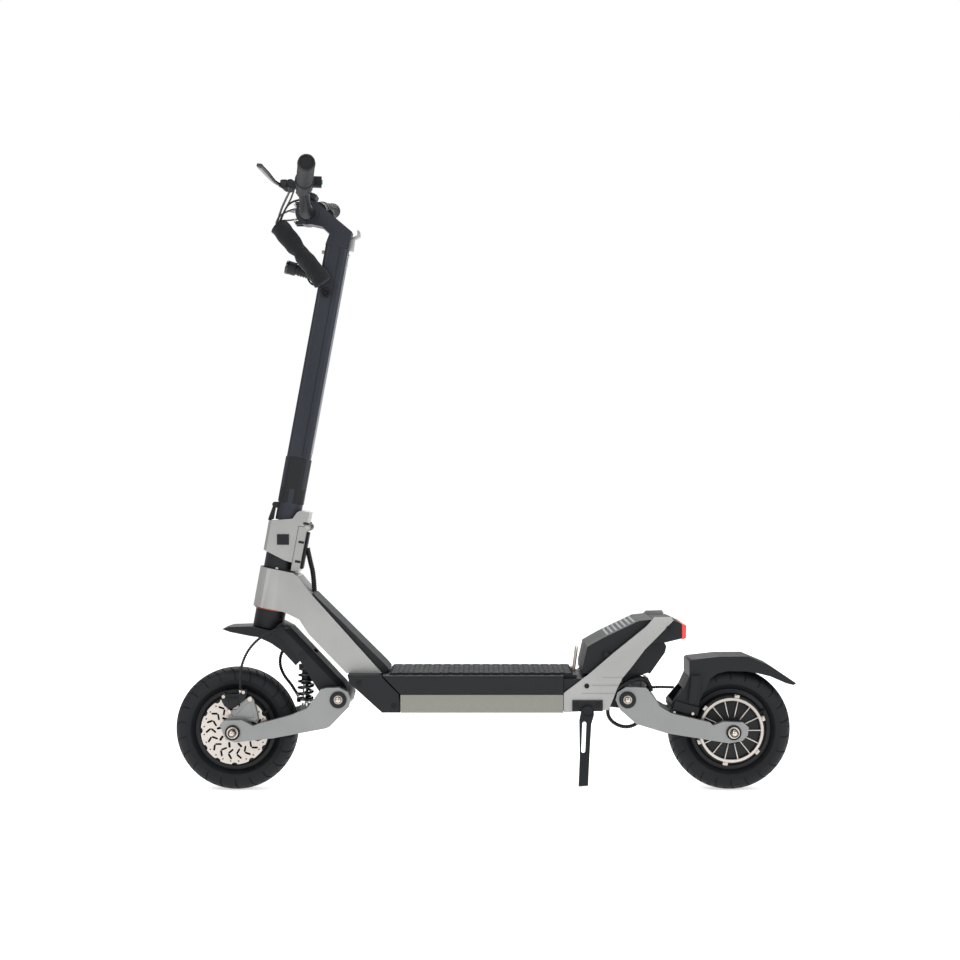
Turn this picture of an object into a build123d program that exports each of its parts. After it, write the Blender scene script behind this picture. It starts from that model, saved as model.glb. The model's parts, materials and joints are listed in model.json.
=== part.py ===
from build123d import *
import math
import os

# Electric kick scooter, in millimetres. +X points to the rear, +Y to the rider's right, +Z up.
# The ground is Z = 0 and the origin lies under the middle of the scooter.

# Wheels and suspension pivots
TYRE_RADIUS = 127.5
TYRE_HALF_WIDTH = 37.5
RIM_RADIUS = 78.7
FRONT_AXLE = (-518.0, TYRE_RADIUS)
REAR_AXLE = (512.0, TYRE_RADIUS)
FRONT_PIVOT = (-301.0, 195.0)
REAR_PIVOT = (294.0, 195.0)
AXLE_RADIUS = 6.0
PIVOT_RADIUS = 7.0
RUNNING = 0.05
ARM_INNER = 64.0
ARM_OUTER = 84.0
DISC_RADIUS = 70.0

# Steering axis: the head's middle and the rake of the column
RAKE = math.radians(10.4)
HEAD_X = -439.8
HEAD_Z = 419.0
HEAD_HALF = 41.7
HEAD_RADIUS = 38.5
COLUMN_RADIUS = 31.5
STEERER_RADIUS = 16.0

# Folding hinge, measured behind the steering axis and along it from the head's middle
FOLD_BACK = 46.5
FOLD_UP = 139.5
KNUCKLE_RADIUS = 7.0
KNUCKLE_SPLIT = 19.6
FOLD_PIN_RADIUS = 3.5

# Stem and handlebar
SLEEVE = (183.0, 278.0)
STEM_TOP = 727.0
STEM_HALF_DEPTH = 24.5
STEM_HALF_WIDTH = 22.0
BAR_CENTRE = (-370.0, 1205.0)
BAR_RADIUS = 15.9
BAR_END_RADIUS = 11.1
GRIP_INNER = (-366.0, 146.0, 1234.6)
GRIP_OUTER = (-344.0, 325.0, 1258.0)
GRIP_RADIUS = 17.0

# Deck
DECK_FRONT = -172.0
DECK_REAR = 161.0
DECK_HALF = 106.0
DECK_BOTTOM = 170.5
TRAY_TOP = 207.5
DECK_TOP = 247.0
MAT_THICKNESS = 3.0
WALL = 4.0
NECK_HALF = 62.0
PLATE_INNER = 100.0
PLATE_OUTER = 107.5

# Shock absorbers: upper and lower eyes
FRONT_SHOCK_TOP = (-372.0, 268.0)
FRONT_SHOCK_FOOT = (-378.0, 168.0)
REAR_SHOCK_TOP = (283.0, 280.0)
REAR_SHOCK_FOOT = (336.0, 228.0)
EYE_RADIUS = 8.0
EYE_PIN = 4.0
EYE_PLAY = 0.6

# Kickstand hinge, tilted so that the leg tucks in beside the deck
STAND_PIVOT = (210.0, -122.0, 176.0)
STAND_AXIS = Vector(-0.0611, -0.9600, 0.2732)

os.makedirs("parts", exist_ok=True)


def save(builder, name):
    """Label a finished piece and write it."""
    builder.part.label = name
    export_step(builder.part, f"parts/{name}.step")


def on_axis(back, up):
    """Side-view point given behind the steering axis and up along it."""
    x = HEAD_X + back * math.cos(RAKE) + up * math.sin(RAKE)
    z = HEAD_Z - back * math.sin(RAKE) + up * math.cos(RAKE)
    return (x, z)


def steer_plane(up):
    """Plane square to the steering axis, local x to the rear and local y to the right."""
    x, z = on_axis(0, up)
    normal = (math.sin(RAKE), 0, math.cos(RAKE))
    return Plane(origin=(x, 0, z), x_dir=(math.cos(RAKE), 0, -math.sin(RAKE)), z_dir=normal)


def slab(points, y_low, y_high, corner=0.0, mode=Mode.ADD):
    """Side-view outline carried across the scooter from y_low to y_high."""
    with BuildSketch(Plane.XZ.offset(-y_low)) as outline:
        with BuildLine():
            if corner:
                FilletPolyline(*points, radius=corner, close=True)
            else:
                Polyline(*points, close=True)
        make_face()
    extrude(outline.sketch, amount=y_low - y_high, mode=mode)


def both_sides(points, inner, outer, corner=0.0, mode=Mode.ADD):
    """The same outline on the left and on the right side."""
    slab(points, -outer, -inner, corner, mode)
    slab(points, inner, outer, corner, mode)


def cross(centre, radius, y_low, y_high, inner=0.0, mode=Mode.ADD):
    """Round bar, hole or ring across the scooter, about a side-view centre."""
    with BuildSketch(Plane.XZ.offset(-y_low)) as outline:
        with Locations(centre):
            Circle(radius)
            if inner:
                Circle(inner, mode=Mode.SUBTRACT)
    extrude(outline.sketch, amount=y_low - y_high, mode=mode)


def column(radius, low, high, inner=0.0, mode=Mode.ADD):
    """Round bar, hole or ring about the steering axis."""
    with BuildSketch(steer_plane(low)) as outline:
        Circle(radius)
        if inner:
            Circle(inner, mode=Mode.SUBTRACT)
    extrude(outline.sketch, amount=high - low, mode=mode)


def turned(profile, centre):
    """Closed outline of (y, radius) points turned about a wheel's axle."""
    plane = Plane(origin=(centre[0], 0, centre[1]), x_dir=(0, 1, 0), z_dir=(1, 0, 0))
    with BuildSketch(plane) as outline:
        with BuildLine():
            Polyline(*profile, close=True)
        make_face()
    revolve(outline.sketch, Axis((centre[0], 0, centre[1]), (0, 1, 0)))


def along(start, end, radius, inner=0.0, mode=Mode.ADD):
    """Round bar or tube from one point to another."""
    line = Vector(*end) - Vector(*start)
    with BuildSketch(Plane(origin=start, z_dir=line)) as outline:
        Circle(radius)
        if inner:
            Circle(inner, mode=Mode.SUBTRACT)
    extrude(outline.sketch, amount=line.length, mode=mode)


def hose(points, radius):
    """Hose of straight runs joined by arcs as large as the runs allow."""
    runs = [(Vector(*b) - Vector(*a)) for a, b in zip(points, points[1:])]
    radii = []
    for first, second in zip(runs, runs[1:]):
        half = math.radians(first.get_angle(second)) / 2
        radii.append(0.45 * min(first.length, second.length) / math.tan(half))
    with BuildLine() as route:
        FilletPolyline(*points, radius=radii)
    with BuildSketch(Plane(origin=points[0], z_dir=runs[0])) as section:
        Circle(radius)
    sweep(section.sketch, path=route.line)


# ---------------------------------------------------------------- neck and deck

with BuildPart() as neck_frame:
    neck_side = [on_axis(-20, 41.7), on_axis(36, 41.7), (-386, 446), (-358, 410), (-212, 247.5)]
    neck_side += [(-286, 247.5), (-362, 326), (-384, 358), (-404, 367), on_axis(30, -41.7)]
    neck_side += [on_axis(-20, -41.7)]
    slab(neck_side, -NECK_HALF, NECK_HALF)
    with BuildSketch(Plane.XY.offset(240)) as neck_plan:
        with BuildLine():
            Polyline((-480, -34), (-430, -38), (-372, -NECK_HALF), (-200, -NECK_HALF),
                     (-200, NECK_HALF), (-372, NECK_HALF), (-430, 38), (-480, 34), close=True)
        make_face()
    extrude(neck_plan.sketch, amount=240, mode=Mode.INTERSECT)
    neck_cavity = [(-376, 420), (-356, 396), (-228, 253), (-228, 240), (-272, 240), (-372, 346)]
    slab(neck_cavity, 5 - NECK_HALF, NECK_HALF - 5, mode=Mode.SUBTRACT)
    column(HEAD_RADIUS, -HEAD_HALF, HEAD_HALF)
    column(20, -HEAD_HALF, HEAD_HALF, mode=Mode.SUBTRACT)
    for seat in ((-HEAD_HALF, 10 - HEAD_HALF), (HEAD_HALF - 10, HEAD_HALF)):
        column(28, *seat, mode=Mode.SUBTRACT)
save(neck_frame, "neck_frame")

with BuildPart() as headset_bearings:
    for low, high in ((0.2 - HEAD_HALF, 9.8 - HEAD_HALF), (HEAD_HALF - 9.8, HEAD_HALF - 0.2)):
        column(27.95, low, high, inner=STEERER_RADIUS + RUNNING)
save(headset_bearings, "headset_bearings")

with BuildPart() as deck_front_bracket:
    bracket_side = [(-281, 247.3), (-214.5, 247.3), (-175.5, 207.8), (-173, DECK_BOTTOM)]
    bracket_side += [(-210, DECK_BOTTOM), (-277, 231)]
    slab(bracket_side, -100, 100)
    slab([(-205, 236), (-180, 212), (-172, 176), (-205, 176)], -92, 92, mode=Mode.SUBTRACT)
    cover_side = [(-206, 247.3), (-197, 254), (-205, 264), (-354, 411), (-357.5, 410.8), (-211, 247.9)]
    slab(cover_side, -56, 56)
save(deck_front_bracket, "deck_front_bracket")

with BuildPart() as deck_tray:
    tray_middle = (DECK_FRONT + DECK_REAR) / 2
    tray_length = DECK_REAR - DECK_FRONT
    with BuildSketch(Plane.XY.offset(DECK_BOTTOM)):
        with Locations((tray_middle, 0)):
            Rectangle(tray_length, 2 * DECK_HALF)
    extrude(amount=TRAY_TOP - DECK_BOTTOM)
    chamfer(deck_tray.edges().filter_by(Axis.X).group_by(Axis.Z)[0], length=3)
    with BuildSketch(Plane.XY.offset(DECK_BOTTOM + WALL)):
        with Locations((tray_middle, 0)):
            Rectangle(tray_length - 2 * WALL, 2 * (DECK_HALF - WALL))
    extrude(amount=TRAY_TOP - DECK_BOTTOM, mode=Mode.SUBTRACT)
save(deck_tray, "deck_tray")

with BuildPart() as deck_upper:
    upper_side = [(-171.5, 208), (DECK_REAR, 208), (DECK_REAR, DECK_TOP), (-209, DECK_TOP)]
    slab(upper_side, -DECK_HALF, DECK_HALF)
    top_edges = deck_upper.edges().filter_by(Axis.X).group_by(Axis.Z)[-1]
    fillet(top_edges, radius=5)
    with BuildSketch(Plane.XY.offset(207)):
        with Locations((-3, 0)):
            Rectangle(318, 2 * (DECK_HALF - WALL - 1))
    extrude(amount=36, mode=Mode.SUBTRACT)
    with BuildSketch(Plane.XY.offset(241)):
        with Locations((175, 0)):
            Rectangle(28, 180)
    extrude(amount=6)
save(deck_upper, "deck_upper")

with BuildPart() as deck_mat:
    with BuildSketch(Plane.XY.offset(DECK_TOP)):
        with Locations((-8, 0)):
            RectangleRounded(378, 190, 12)
    extrude(amount=MAT_THICKNESS)
save(deck_mat, "deck_mat")

with BuildPart() as battery_pack:
    with BuildSketch(Plane.XY.offset(DECK_BOTTOM + WALL)):
        with Locations((-52, 0)):
            RectangleRounded(212, 180, 8)
    extrude(amount=60)
save(battery_pack, "battery_pack")

with BuildPart() as motor_controller:
    with BuildSketch(Plane.XY.offset(DECK_BOTTOM + WALL)):
        with Locations((106, 0)):
            Rectangle(84, 140)
    extrude(amount=44)
    with BuildSketch(Plane.XY.offset(DECK_BOTTOM + WALL + 44)):
        with GridLocations(10, 1, 8, 1):
            with Locations((106, 0)):
                Rectangle(3, 130)
    extrude(amount=8)
save(motor_controller, "motor_controller")

# ---------------------------------------------------------------- rear of the deck

with BuildPart() as rear_side_plates:
    plate_side = [(162, 172), (253.5, 177), (263.5, 202), (270.5, 220.5), (281.8, 242.3), (300, 264.3)]
    plate_side += [(327.5, 300.5), (355, 328), (386, 360), (382, 366.5), (347.5, 365.5)]
    plate_side += [(329, 346.3), (263.5, 293.5), (210.5, 248), (162, 211.5)]
    both_sides(plate_side, PLATE_INNER, PLATE_OUTER)
    for low_x, high_x, z in ((242, 281, 244), (219, 274, 228), (199, 266, 211.5)):
        groove = [(low_x, z - 1.5), (high_x, z - 1.5), (high_x, z + 1.5), (low_x, z + 1.5)]
        both_sides(groove, PLATE_OUTER - 1.5, PLATE_OUTER + 1, mode=Mode.SUBTRACT)
save(rear_side_plates, "rear_side_plates")

with BuildPart() as rear_bridge:
    bridge_side = [(162, 173), (250, 178), (258, 200), (258, 240), (162, 240)]
    slab(bridge_side, -99.8, 99.8)
    slab([(170, 181), (243, 184), (248, 200), (248, 232), (170, 232)], -91, 91, mode=Mode.SUBTRACT)
    slab([(250, 176), (294, 171), (294, 219), (250, 236)], -36, 36)
    cross(REAR_PIVOT, 24, -36, 36)
    cross(REAR_PIVOT, PIVOT_RADIUS + 0.02, -40, 40, mode=Mode.SUBTRACT)
    for side in (-1, 1):
        low_y, high_y = sorted((side * 14, side * 22))
        slab([(240, 238), (258, 238), (292, 276), (292, 288), (276, 292)], low_y, high_y)
    cross(REAR_SHOCK_TOP, EYE_PIN + 0.02, -30, 30, mode=Mode.SUBTRACT)
    guard = [(333, 250), (342, 246), (373, 290), (376, 303), (371, 312), (362, 309), (366, 292)]
    slab(guard, -60, 60)
    for side in (-1, 1):
        low_y, high_y = sorted((side * 52, side * 60))
        slab([(240, 236), (258, 222), (338, 248), (371, 290), (370, 309), (341, 306), (263, 259), (240, 247)],
             low_y, high_y)
save(rear_bridge, "rear_bridge")

with BuildPart() as rear_pivot_axle:
    cross(REAR_PIVOT, PIVOT_RADIUS, -ARM_OUTER - 5, ARM_OUTER + 5)
    for low, high in ((-ARM_OUTER - 3, -ARM_OUTER - 0.3), (ARM_OUTER + 0.3, ARM_OUTER + 3)):
        cross(REAR_PIVOT, 15, low, high)
save(rear_pivot_axle, "rear_pivot_axle")

with BuildPart() as kick_plate:
    kick_side = [(200.5, 262), (210.5, 305), (244.7, 324), (316.6, 358), (345, 361), (352, 358)]
    kick_side += [(388, 359), (404.8, 351.5), (404.8, 322), (372, 314), (341, 309.5), (263, 262)]
    kick_side += [(211, 250.3), (200.5, 250.3)]
    slab(kick_side, -94, 94)
    kick_hollow = [(203, 262), (213, 301.5), (246, 319.5), (318, 353.5), (398, 353), (398, 326)]
    kick_hollow += [(372, 319), (339, 314), (262, 266), (209, 254)]
    slab(kick_hollow, -90, 90, mode=Mode.SUBTRACT)
    slab([(212, 240), (330, 240), (330, 316), (262, 275), (212, 256)], -62, 62, mode=Mode.SUBTRACT)
save(kick_plate, "kick_plate")

with BuildPart() as tail_light_lens:
    slab([(405, 320), (409, 319), (414.5, 322), (415, 347), (411, 350), (405, 350)], -80, 80)
save(tail_light_lens, "tail_light_lens")

with BuildPart() as lock_loop:
    low_x, top_x, reach, low_z, top_z = 187, 193, 18, DECK_TOP + 3, DECK_TOP + 50
    with BuildLine() as loop_path:
        FilletPolyline((low_x, -reach, low_z), (top_x, -reach, top_z), (top_x, reach, top_z),
                       (low_x, reach, low_z), radius=7)
    with BuildSketch(Plane(origin=(low_x, -reach, low_z), z_dir=(top_x - low_x, 0, top_z - low_z))) as loop_end:
        Circle(2.5)
    sweep(loop_end.sketch, path=loop_path.line)
    with BuildSketch(Plane.XY.offset(DECK_TOP + 0.2)):
        with Locations((low_x - 0.8, -reach), (low_x - 0.8, reach)):
            Circle(4)
    extrude(amount=4)
save(lock_loop, "lock_loop")

with BuildPart() as kickstand_mount:
    slab([(179, 175), (241, 175), (241, 197), (179, 197)], -112.5, -PLATE_OUTER)
    boss_end = Vector(*STAND_PIVOT) - STAND_AXIS * 4.4
    boss_start = boss_end - STAND_AXIS * 9
    along(boss_start, boss_end, 11)
    slab([(150, 120), (280, 120), (280, 220), (150, 220)], -PLATE_OUTER, -60, mode=Mode.SUBTRACT)
    along(boss_end, Vector(*STAND_PIVOT) + STAND_AXIS * 6, 5)
    along(Vector(*STAND_PIVOT) + STAND_AXIS * 4.4, Vector(*STAND_PIVOT) + STAND_AXIS * 8, 9)
save(kickstand_mount, "kickstand_mount")

with BuildPart() as kickstand_leg:
    stand_plane = Plane(origin=STAND_PIVOT, x_dir=(0.9933, -0.0403, 0.0805), z_dir=STAND_AXIS)
    with BuildSketch(stand_plane) as leg_outline:
        with BuildLine():
            Polyline((-12, 8), (-19, -17), (-24, -90), (-31, -150), (-12, -150), (-4, -90), (5, -26),
                     (12, -8), (12, 8), close=True)
        make_face()
        fillet(leg_outline.vertices().group_by(Axis.Y)[-1], radius=8)
        Circle(5 + RUNNING, mode=Mode.SUBTRACT)
        with Locations((-12.6, -52)):
            SlotCenterToCenter(56, 8, rotation=83, mode=Mode.SUBTRACT)
    extrude(leg_outline.sketch, amount=4, both=True)
save(kickstand_leg, "kickstand_leg")

# ---------------------------------------------------------------- fork and front suspension

with BuildPart() as steering_column:
    column(STEERER_RADIUS, -70, 60)
    column(COLUMN_RADIUS, HEAD_HALF + 1, FOLD_UP - 0.5)
save(steering_column, "steering_column")

with BuildPart() as fork_beam:
    beam_side = [(-441, 333.5), (-424, 350), (-402, 340), (-292, 224), (-280, 205), (-282, 182)]
    beam_side += [(-300, 172), (-322, 178), (-349.5, 218.5), (-382.5, 271.5), (-403.5, 297.5)]
    beam_side += [(-422, 320)]
    slab(beam_side, -52, 52)
    chamfer(fork_beam.edges().filter_by(lambda edge: edge.length > 150), length=12)
    column(COLUMN_RADIUS, -82, -HEAD_HALF - 3)
    column(STEERER_RADIUS + 0.02, -70, -30, mode=Mode.SUBTRACT)
    cross(FRONT_PIVOT, 24, -63.5, 63.5)
    cross(FRONT_PIVOT, PIVOT_RADIUS + 0.02, -70, 70, mode=Mode.SUBTRACT)
    slab([(-398, 200), (-354, 200), (-352, 250), (-350, 292), (-398, 292)], -21, 21, mode=Mode.SUBTRACT)
    cross(FRONT_SHOCK_TOP, EYE_PIN, -22, 22)
save(fork_beam, "fork_beam")

with BuildPart() as front_fender:
    fender_side = [(-545, 337), (-531, 341.5), (-486, 343), (-441.8, 333.2), (-422.8, 319.5)]
    fender_side += [(-404.2, 297), (-383.3, 271), (-392, 261.5), (-420, 291.5), (-444, 308)]
    fender_side += [(-471, 320.5), (-486, 322.5), (-528, 331)]
    slab(fender_side, -44, 44)
    column(COLUMN_RADIUS + 0.3, -95, -40, mode=Mode.SUBTRACT)
    slab([(-398, 200), (-366, 200), (-352, 250), (-350, 292), (-398, 292)], -21, 21, mode=Mode.SUBTRACT)
save(front_fender, "front_fender")

with BuildPart() as front_pivot_axle:
    cross(FRONT_PIVOT, PIVOT_RADIUS, -ARM_OUTER - 5, ARM_OUTER + 5)
    for low, high in ((-ARM_OUTER - 3, -ARM_OUTER - 0.3), (ARM_OUTER + 0.3, ARM_OUTER + 3)):
        cross(FRONT_PIVOT, 15, low, high)
save(front_pivot_axle, "front_pivot_axle")

with BuildPart() as hinge_block:
    block_side = [on_axis(28.5, 45), on_axis(45.5, 45), on_axis(45.5, FOLD_UP - 0.3)]
    block_side += [on_axis(28.5, FOLD_UP - 0.3)]
    slab(block_side, -34, 34)
    fold_hinge = on_axis(FOLD_BACK, FOLD_UP)
    cross(fold_hinge, KNUCKLE_RADIUS, -34, 34)
    column(COLUMN_RADIUS + 0.02, 40, FOLD_UP + 2, mode=Mode.SUBTRACT)
    cross(fold_hinge, KNUCKLE_RADIUS + 0.8, -KNUCKLE_SPLIT - 0.2, KNUCKLE_SPLIT + 0.2, mode=Mode.SUBTRACT)
    cross(fold_hinge, FOLD_PIN_RADIUS + 0.02, -40, 40, mode=Mode.SUBTRACT)
    above_split = [on_axis(20, FOLD_UP + 0.02), on_axis(39, FOLD_UP + 0.02)]
    above_split += [on_axis(39, 160), on_axis(20, 160)]
    slab(above_split, -40, 40, mode=Mode.SUBTRACT)
save(hinge_block, "hinge_block")

with BuildPart() as hinge_pin:
    cross(on_axis(FOLD_BACK, FOLD_UP), FOLD_PIN_RADIUS, -35.5, 35.5)
save(hinge_pin, "hinge_pin")


def suspension_arm(outline, pivot, axle, crossbar, lug_foot, name):
    """Pair of side arms joined by a crossbar that carries the shock's lower lugs."""
    with BuildPart() as arms:
        both_sides(outline, ARM_INNER, ARM_OUTER)
        slab(crossbar, -ARM_INNER - 1, ARM_INNER + 1)
        for side in (-1, 1):
            low, high = sorted((side * 9, side * 15))
            x, z = lug_foot
            lug_base = crossbar[-1][1]
            slab([(x - 8, lug_base - 1), (x + 8, lug_base - 1), (x + 8, z), (x - 8, z)], low, high)
            cross(lug_foot, EYE_RADIUS, low, high)
        cross(lug_foot, EYE_PIN, -15, 15)
        cross(pivot, PIVOT_RADIUS + RUNNING, -90, 90, mode=Mode.SUBTRACT)
        cross(axle, AXLE_RADIUS + 0.02, -90, 90, mode=Mode.SUBTRACT)
    save(arms, name)


front_arm_side = [(-545, 143), (-537, 152), (-499.5, 153), (-476, 141), (-464, 146), (-397.5, 163.5)]
front_arm_side += [(-366, 176), (-337.5, 216), (-326, 219), (-300, 220), (-282, 211), (-275.5, 195)]
front_arm_side += [(-279, 180), (-318, 140), (-326, 136), (-435, 116), (-512, 107.5), (-532, 113)]
suspension_arm(front_arm_side, FRONT_PIVOT, FRONT_AXLE,
               [(-386, 147), (-352, 147), (-352, 159), (-386, 159)], FRONT_SHOCK_FOOT, "front_arms")

rear_arm_side = [(269, 195), (273, 210), (290, 221), (331, 220), (336, 216), (360, 181), (384, 167)]
rear_arm_side += [(425, 157.5), (463, 148.5), (470, 142), (491, 150), (532, 148), (543, 138), (541, 122)]
rear_arm_side += [(530, 110.5), (503, 105.5), (375, 126), (312, 145), (279, 174)]
suspension_arm(rear_arm_side, REAR_PIVOT, REAR_AXLE,
               [(322, 200), (322, 186), (362, 160), (372, 166), (348, 205)], REAR_SHOCK_FOOT, "rear_arms")


def axle(centre, name):
    """Through axle with a dome nut and washer outside each arm."""
    with BuildPart() as rod:
        cross(centre, AXLE_RADIUS, -ARM_OUTER - 18, ARM_OUTER + 18)
        for side in (-1, 1):
            low, high = sorted((side * (ARM_OUTER + 0.02), side * (ARM_OUTER + 3)))
            cross(centre, 15, low, high)
            low, high = sorted((side * (ARM_OUTER + 3), side * (ARM_OUTER + 15)))
            cross(centre, 8.5, low, high)
    save(rod, name)


def tyre(centre, name):
    """Pneumatic tyre with a rounded tread, beads seated on the rim."""
    with BuildPart() as casing:
        half = [(24, RIM_RADIUS + 0.3), (24, 84), (29, 88), (35, 97), (TYRE_HALF_WIDTH, 107)]
        half += [(35.5, 115), (30, 121), (22, 125), (12, 127.1), (4, TYRE_RADIUS)]
        turned(half + [(-y, radius) for y, radius in reversed(half)], centre)
    save(casing, name)


def hub(centre, name):
    """Hub motor with its rim cast on, bored for the axle."""
    with BuildPart() as motor:
        half = [(24, RIM_RADIUS), (24.4, RIM_RADIUS), (24.4, 83.5), (27, 83.5), (29, 76), (38, 71)]
        half += [(42, 58), (45, 30), (49.7, 26), (49.7, AXLE_RADIUS + RUNNING)]
        turned(half + [(-y, radius) for y, radius in reversed(half)], centre)
    save(motor, name)


def brake_disc(centre, side, name):
    """Petal-edged brake disc with radial slots, on the outside of the hub."""
    low, high = sorted((side * 49.8, side * 52))
    with BuildPart() as rotor:
        with BuildSketch(Plane.XZ.offset(-low)) as face:
            with Locations(centre):
                Circle(DISC_RADIUS)
                Circle(22, mode=Mode.SUBTRACT)
                with PolarLocations(DISC_RADIUS + 3, 12):
                    Circle(7, mode=Mode.SUBTRACT)
                with PolarLocations(63.5, 24, start_angle=7.5):
                    Circle(1.6, mode=Mode.SUBTRACT)
                with PolarLocations(54.5, 18):
                    SlotOverall(13, 4.2, rotation=40, mode=Mode.SUBTRACT)
                with PolarLocations(43.5, 18):
                    SlotOverall(13, 4, rotation=-40, mode=Mode.SUBTRACT)
                with PolarLocations(31.5, 9, start_angle=10):
                    SlotOverall(12, 5, rotation=25, mode=Mode.SUBTRACT)
        extrude(face.sketch, amount=low - high)
    save(rotor, name)


def caliper(places, side, name):
    """Brake caliper over the disc's edge and the bracket that holds it to the arm."""
    body, bracket, window = places
    with BuildPart() as brake:
        low, high = sorted((side * 44, side * 62.5))
        slab(body, low, high, corner=5)
        low, high = sorted((side * 47.5, side * 54.5))
        slab([(x, z - 4) for x, z in body], low, high, mode=Mode.SUBTRACT)
        low, high = sorted((side * 57.5, side * 63.8))
        slab(bracket, low, high, corner=4)
        slab(window, low, high, corner=3, mode=Mode.SUBTRACT)
    save(brake, name)


axle(FRONT_AXLE, "front_axle")
axle(REAR_AXLE, "rear_axle")
tyre(FRONT_AXLE, "front_tyre")
tyre(REAR_AXLE, "rear_tyre")
hub(FRONT_AXLE, "front_hub_motor")
hub(REAR_AXLE, "rear_hub_motor")
brake_disc(FRONT_AXLE, -1, "front_brake_disc")
brake_disc(REAR_AXLE, 1, "rear_brake_disc")

with BuildPart() as front_shock_body:
    foot, top = FRONT_SHOCK_FOOT, FRONT_SHOCK_TOP
    shock_top = (top[0], 0, top[1])
    shock_foot = (foot[0], 0, foot[1])
    shock_line = (Vector(*shock_foot) - Vector(*shock_top)).normalized()
    along(Vector(*shock_top), Vector(*shock_top) + shock_line * 50, 10)
    along(Vector(*shock_top) + shock_line * 9, Vector(*shock_top) + shock_line * 13, 17.5)
    along(Vector(*shock_top) + shock_line * 20, Vector(*shock_top) + shock_line * 51, 6.3, mode=Mode.SUBTRACT)
    cross(FRONT_SHOCK_TOP, EYE_RADIUS, -11, 11)
    cross(FRONT_SHOCK_TOP, EYE_PIN + RUNNING, -12, 12, mode=Mode.SUBTRACT)
save(front_shock_body, "front_shock_body")

with BuildPart() as front_shock_rod:
    along(Vector(*shock_foot), Vector(*shock_top) + shock_line * 38, 6)
    along(Vector(*shock_foot) - shock_line * 17, Vector(*shock_foot) - shock_line * 13, 17.5)
    cross(FRONT_SHOCK_FOOT, EYE_RADIUS - 1, -8.5, 8.5)
    cross(FRONT_SHOCK_FOOT, EYE_PIN + EYE_PLAY, -12, 12, mode=Mode.SUBTRACT)
save(front_shock_rod, "front_shock_rod")

with BuildPart() as front_spring:
    spring_top = Vector(*shock_top) + shock_line * 13.2
    spring_foot = Vector(*shock_foot) - shock_line * 17.2
    along(spring_top, spring_foot, 17, inner=12)
save(front_spring, "front_spring")

with BuildPart() as rear_shock_body:
    upper = Vector(REAR_SHOCK_TOP[0], 0, REAR_SHOCK_TOP[1])
    lower = Vector(REAR_SHOCK_FOOT[0], 0, REAR_SHOCK_FOOT[1])
    rear_shock_line = (lower - upper).normalized()
    along(upper, upper + rear_shock_line * 44, 12)
    along(upper + rear_shock_line * 14, upper + rear_shock_line * 45, 6.3, mode=Mode.SUBTRACT)
    cross(REAR_SHOCK_TOP, EYE_RADIUS, -13, 13)
    cross(REAR_SHOCK_TOP, EYE_PIN, -24, 24)
save(rear_shock_body, "rear_shock_body")

with BuildPart() as rear_shock_rod:
    along(lower, upper + rear_shock_line * 29, 6)
    cross(REAR_SHOCK_FOOT, EYE_RADIUS, -8.5, 8.5)
    cross(REAR_SHOCK_FOOT, EYE_PIN + 1.2, -12, 12, mode=Mode.SUBTRACT)
save(rear_shock_rod, "rear_shock_rod")

with BuildPart() as rear_fender:
    fender_side = [(424, 271), (429, 274.5), (487, 281), (545, 281.5), (592, 262), (645.5, 226)]
    fender_side += [(640, 222), (624, 226), (592, 240), (563, 247), (542, 250.5), (503, 251)]
    fender_side += [(482, 246), (468, 236), (458, 216), (448, 196), (440, 172), (428, 166)]
    fender_side += [(386, 174), (386, 184), (413, 216), (424, 240)]
    slab(fender_side, -56, 56)
    wheel_room = [(389.5, 120), (389.5, 190), (424, 228), (440, 262), (487, 272), (545, 272)]
    wheel_room += [(588, 254), (640, 218), (640, 120)]
    slab(wheel_room, -50, 50, mode=Mode.SUBTRACT)
    for side in (-1, 1):
        low, high = sorted((side * 56, side * ARM_INNER))
        slab([(388, 172), (440, 160), (444, 176), (394, 190)], low, high)
save(rear_fender, "rear_fender")

caliper(([(-552, 168), (-492, 168), (-486, 203), (-520, 212), (-552, 200)],
         [(-545, 148), (-470, 146), (-474, 200), (-492, 206), (-536, 178)],
         [(-524, 156), (-484, 156), (-484, 188), (-500, 182)]), -1, "front_brake_caliper")
caliper(([(546, 168), (486, 168), (480, 203), (514, 212), (546, 200)],
         [(540, 146), (462, 146), (468, 190), (488, 200), (532, 178)],
         [(518, 156), (478, 156), (478, 182), (494, 182)]), 1, "rear_brake_caliper")

# ---------------------------------------------------------------- stem and handlebar

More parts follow.
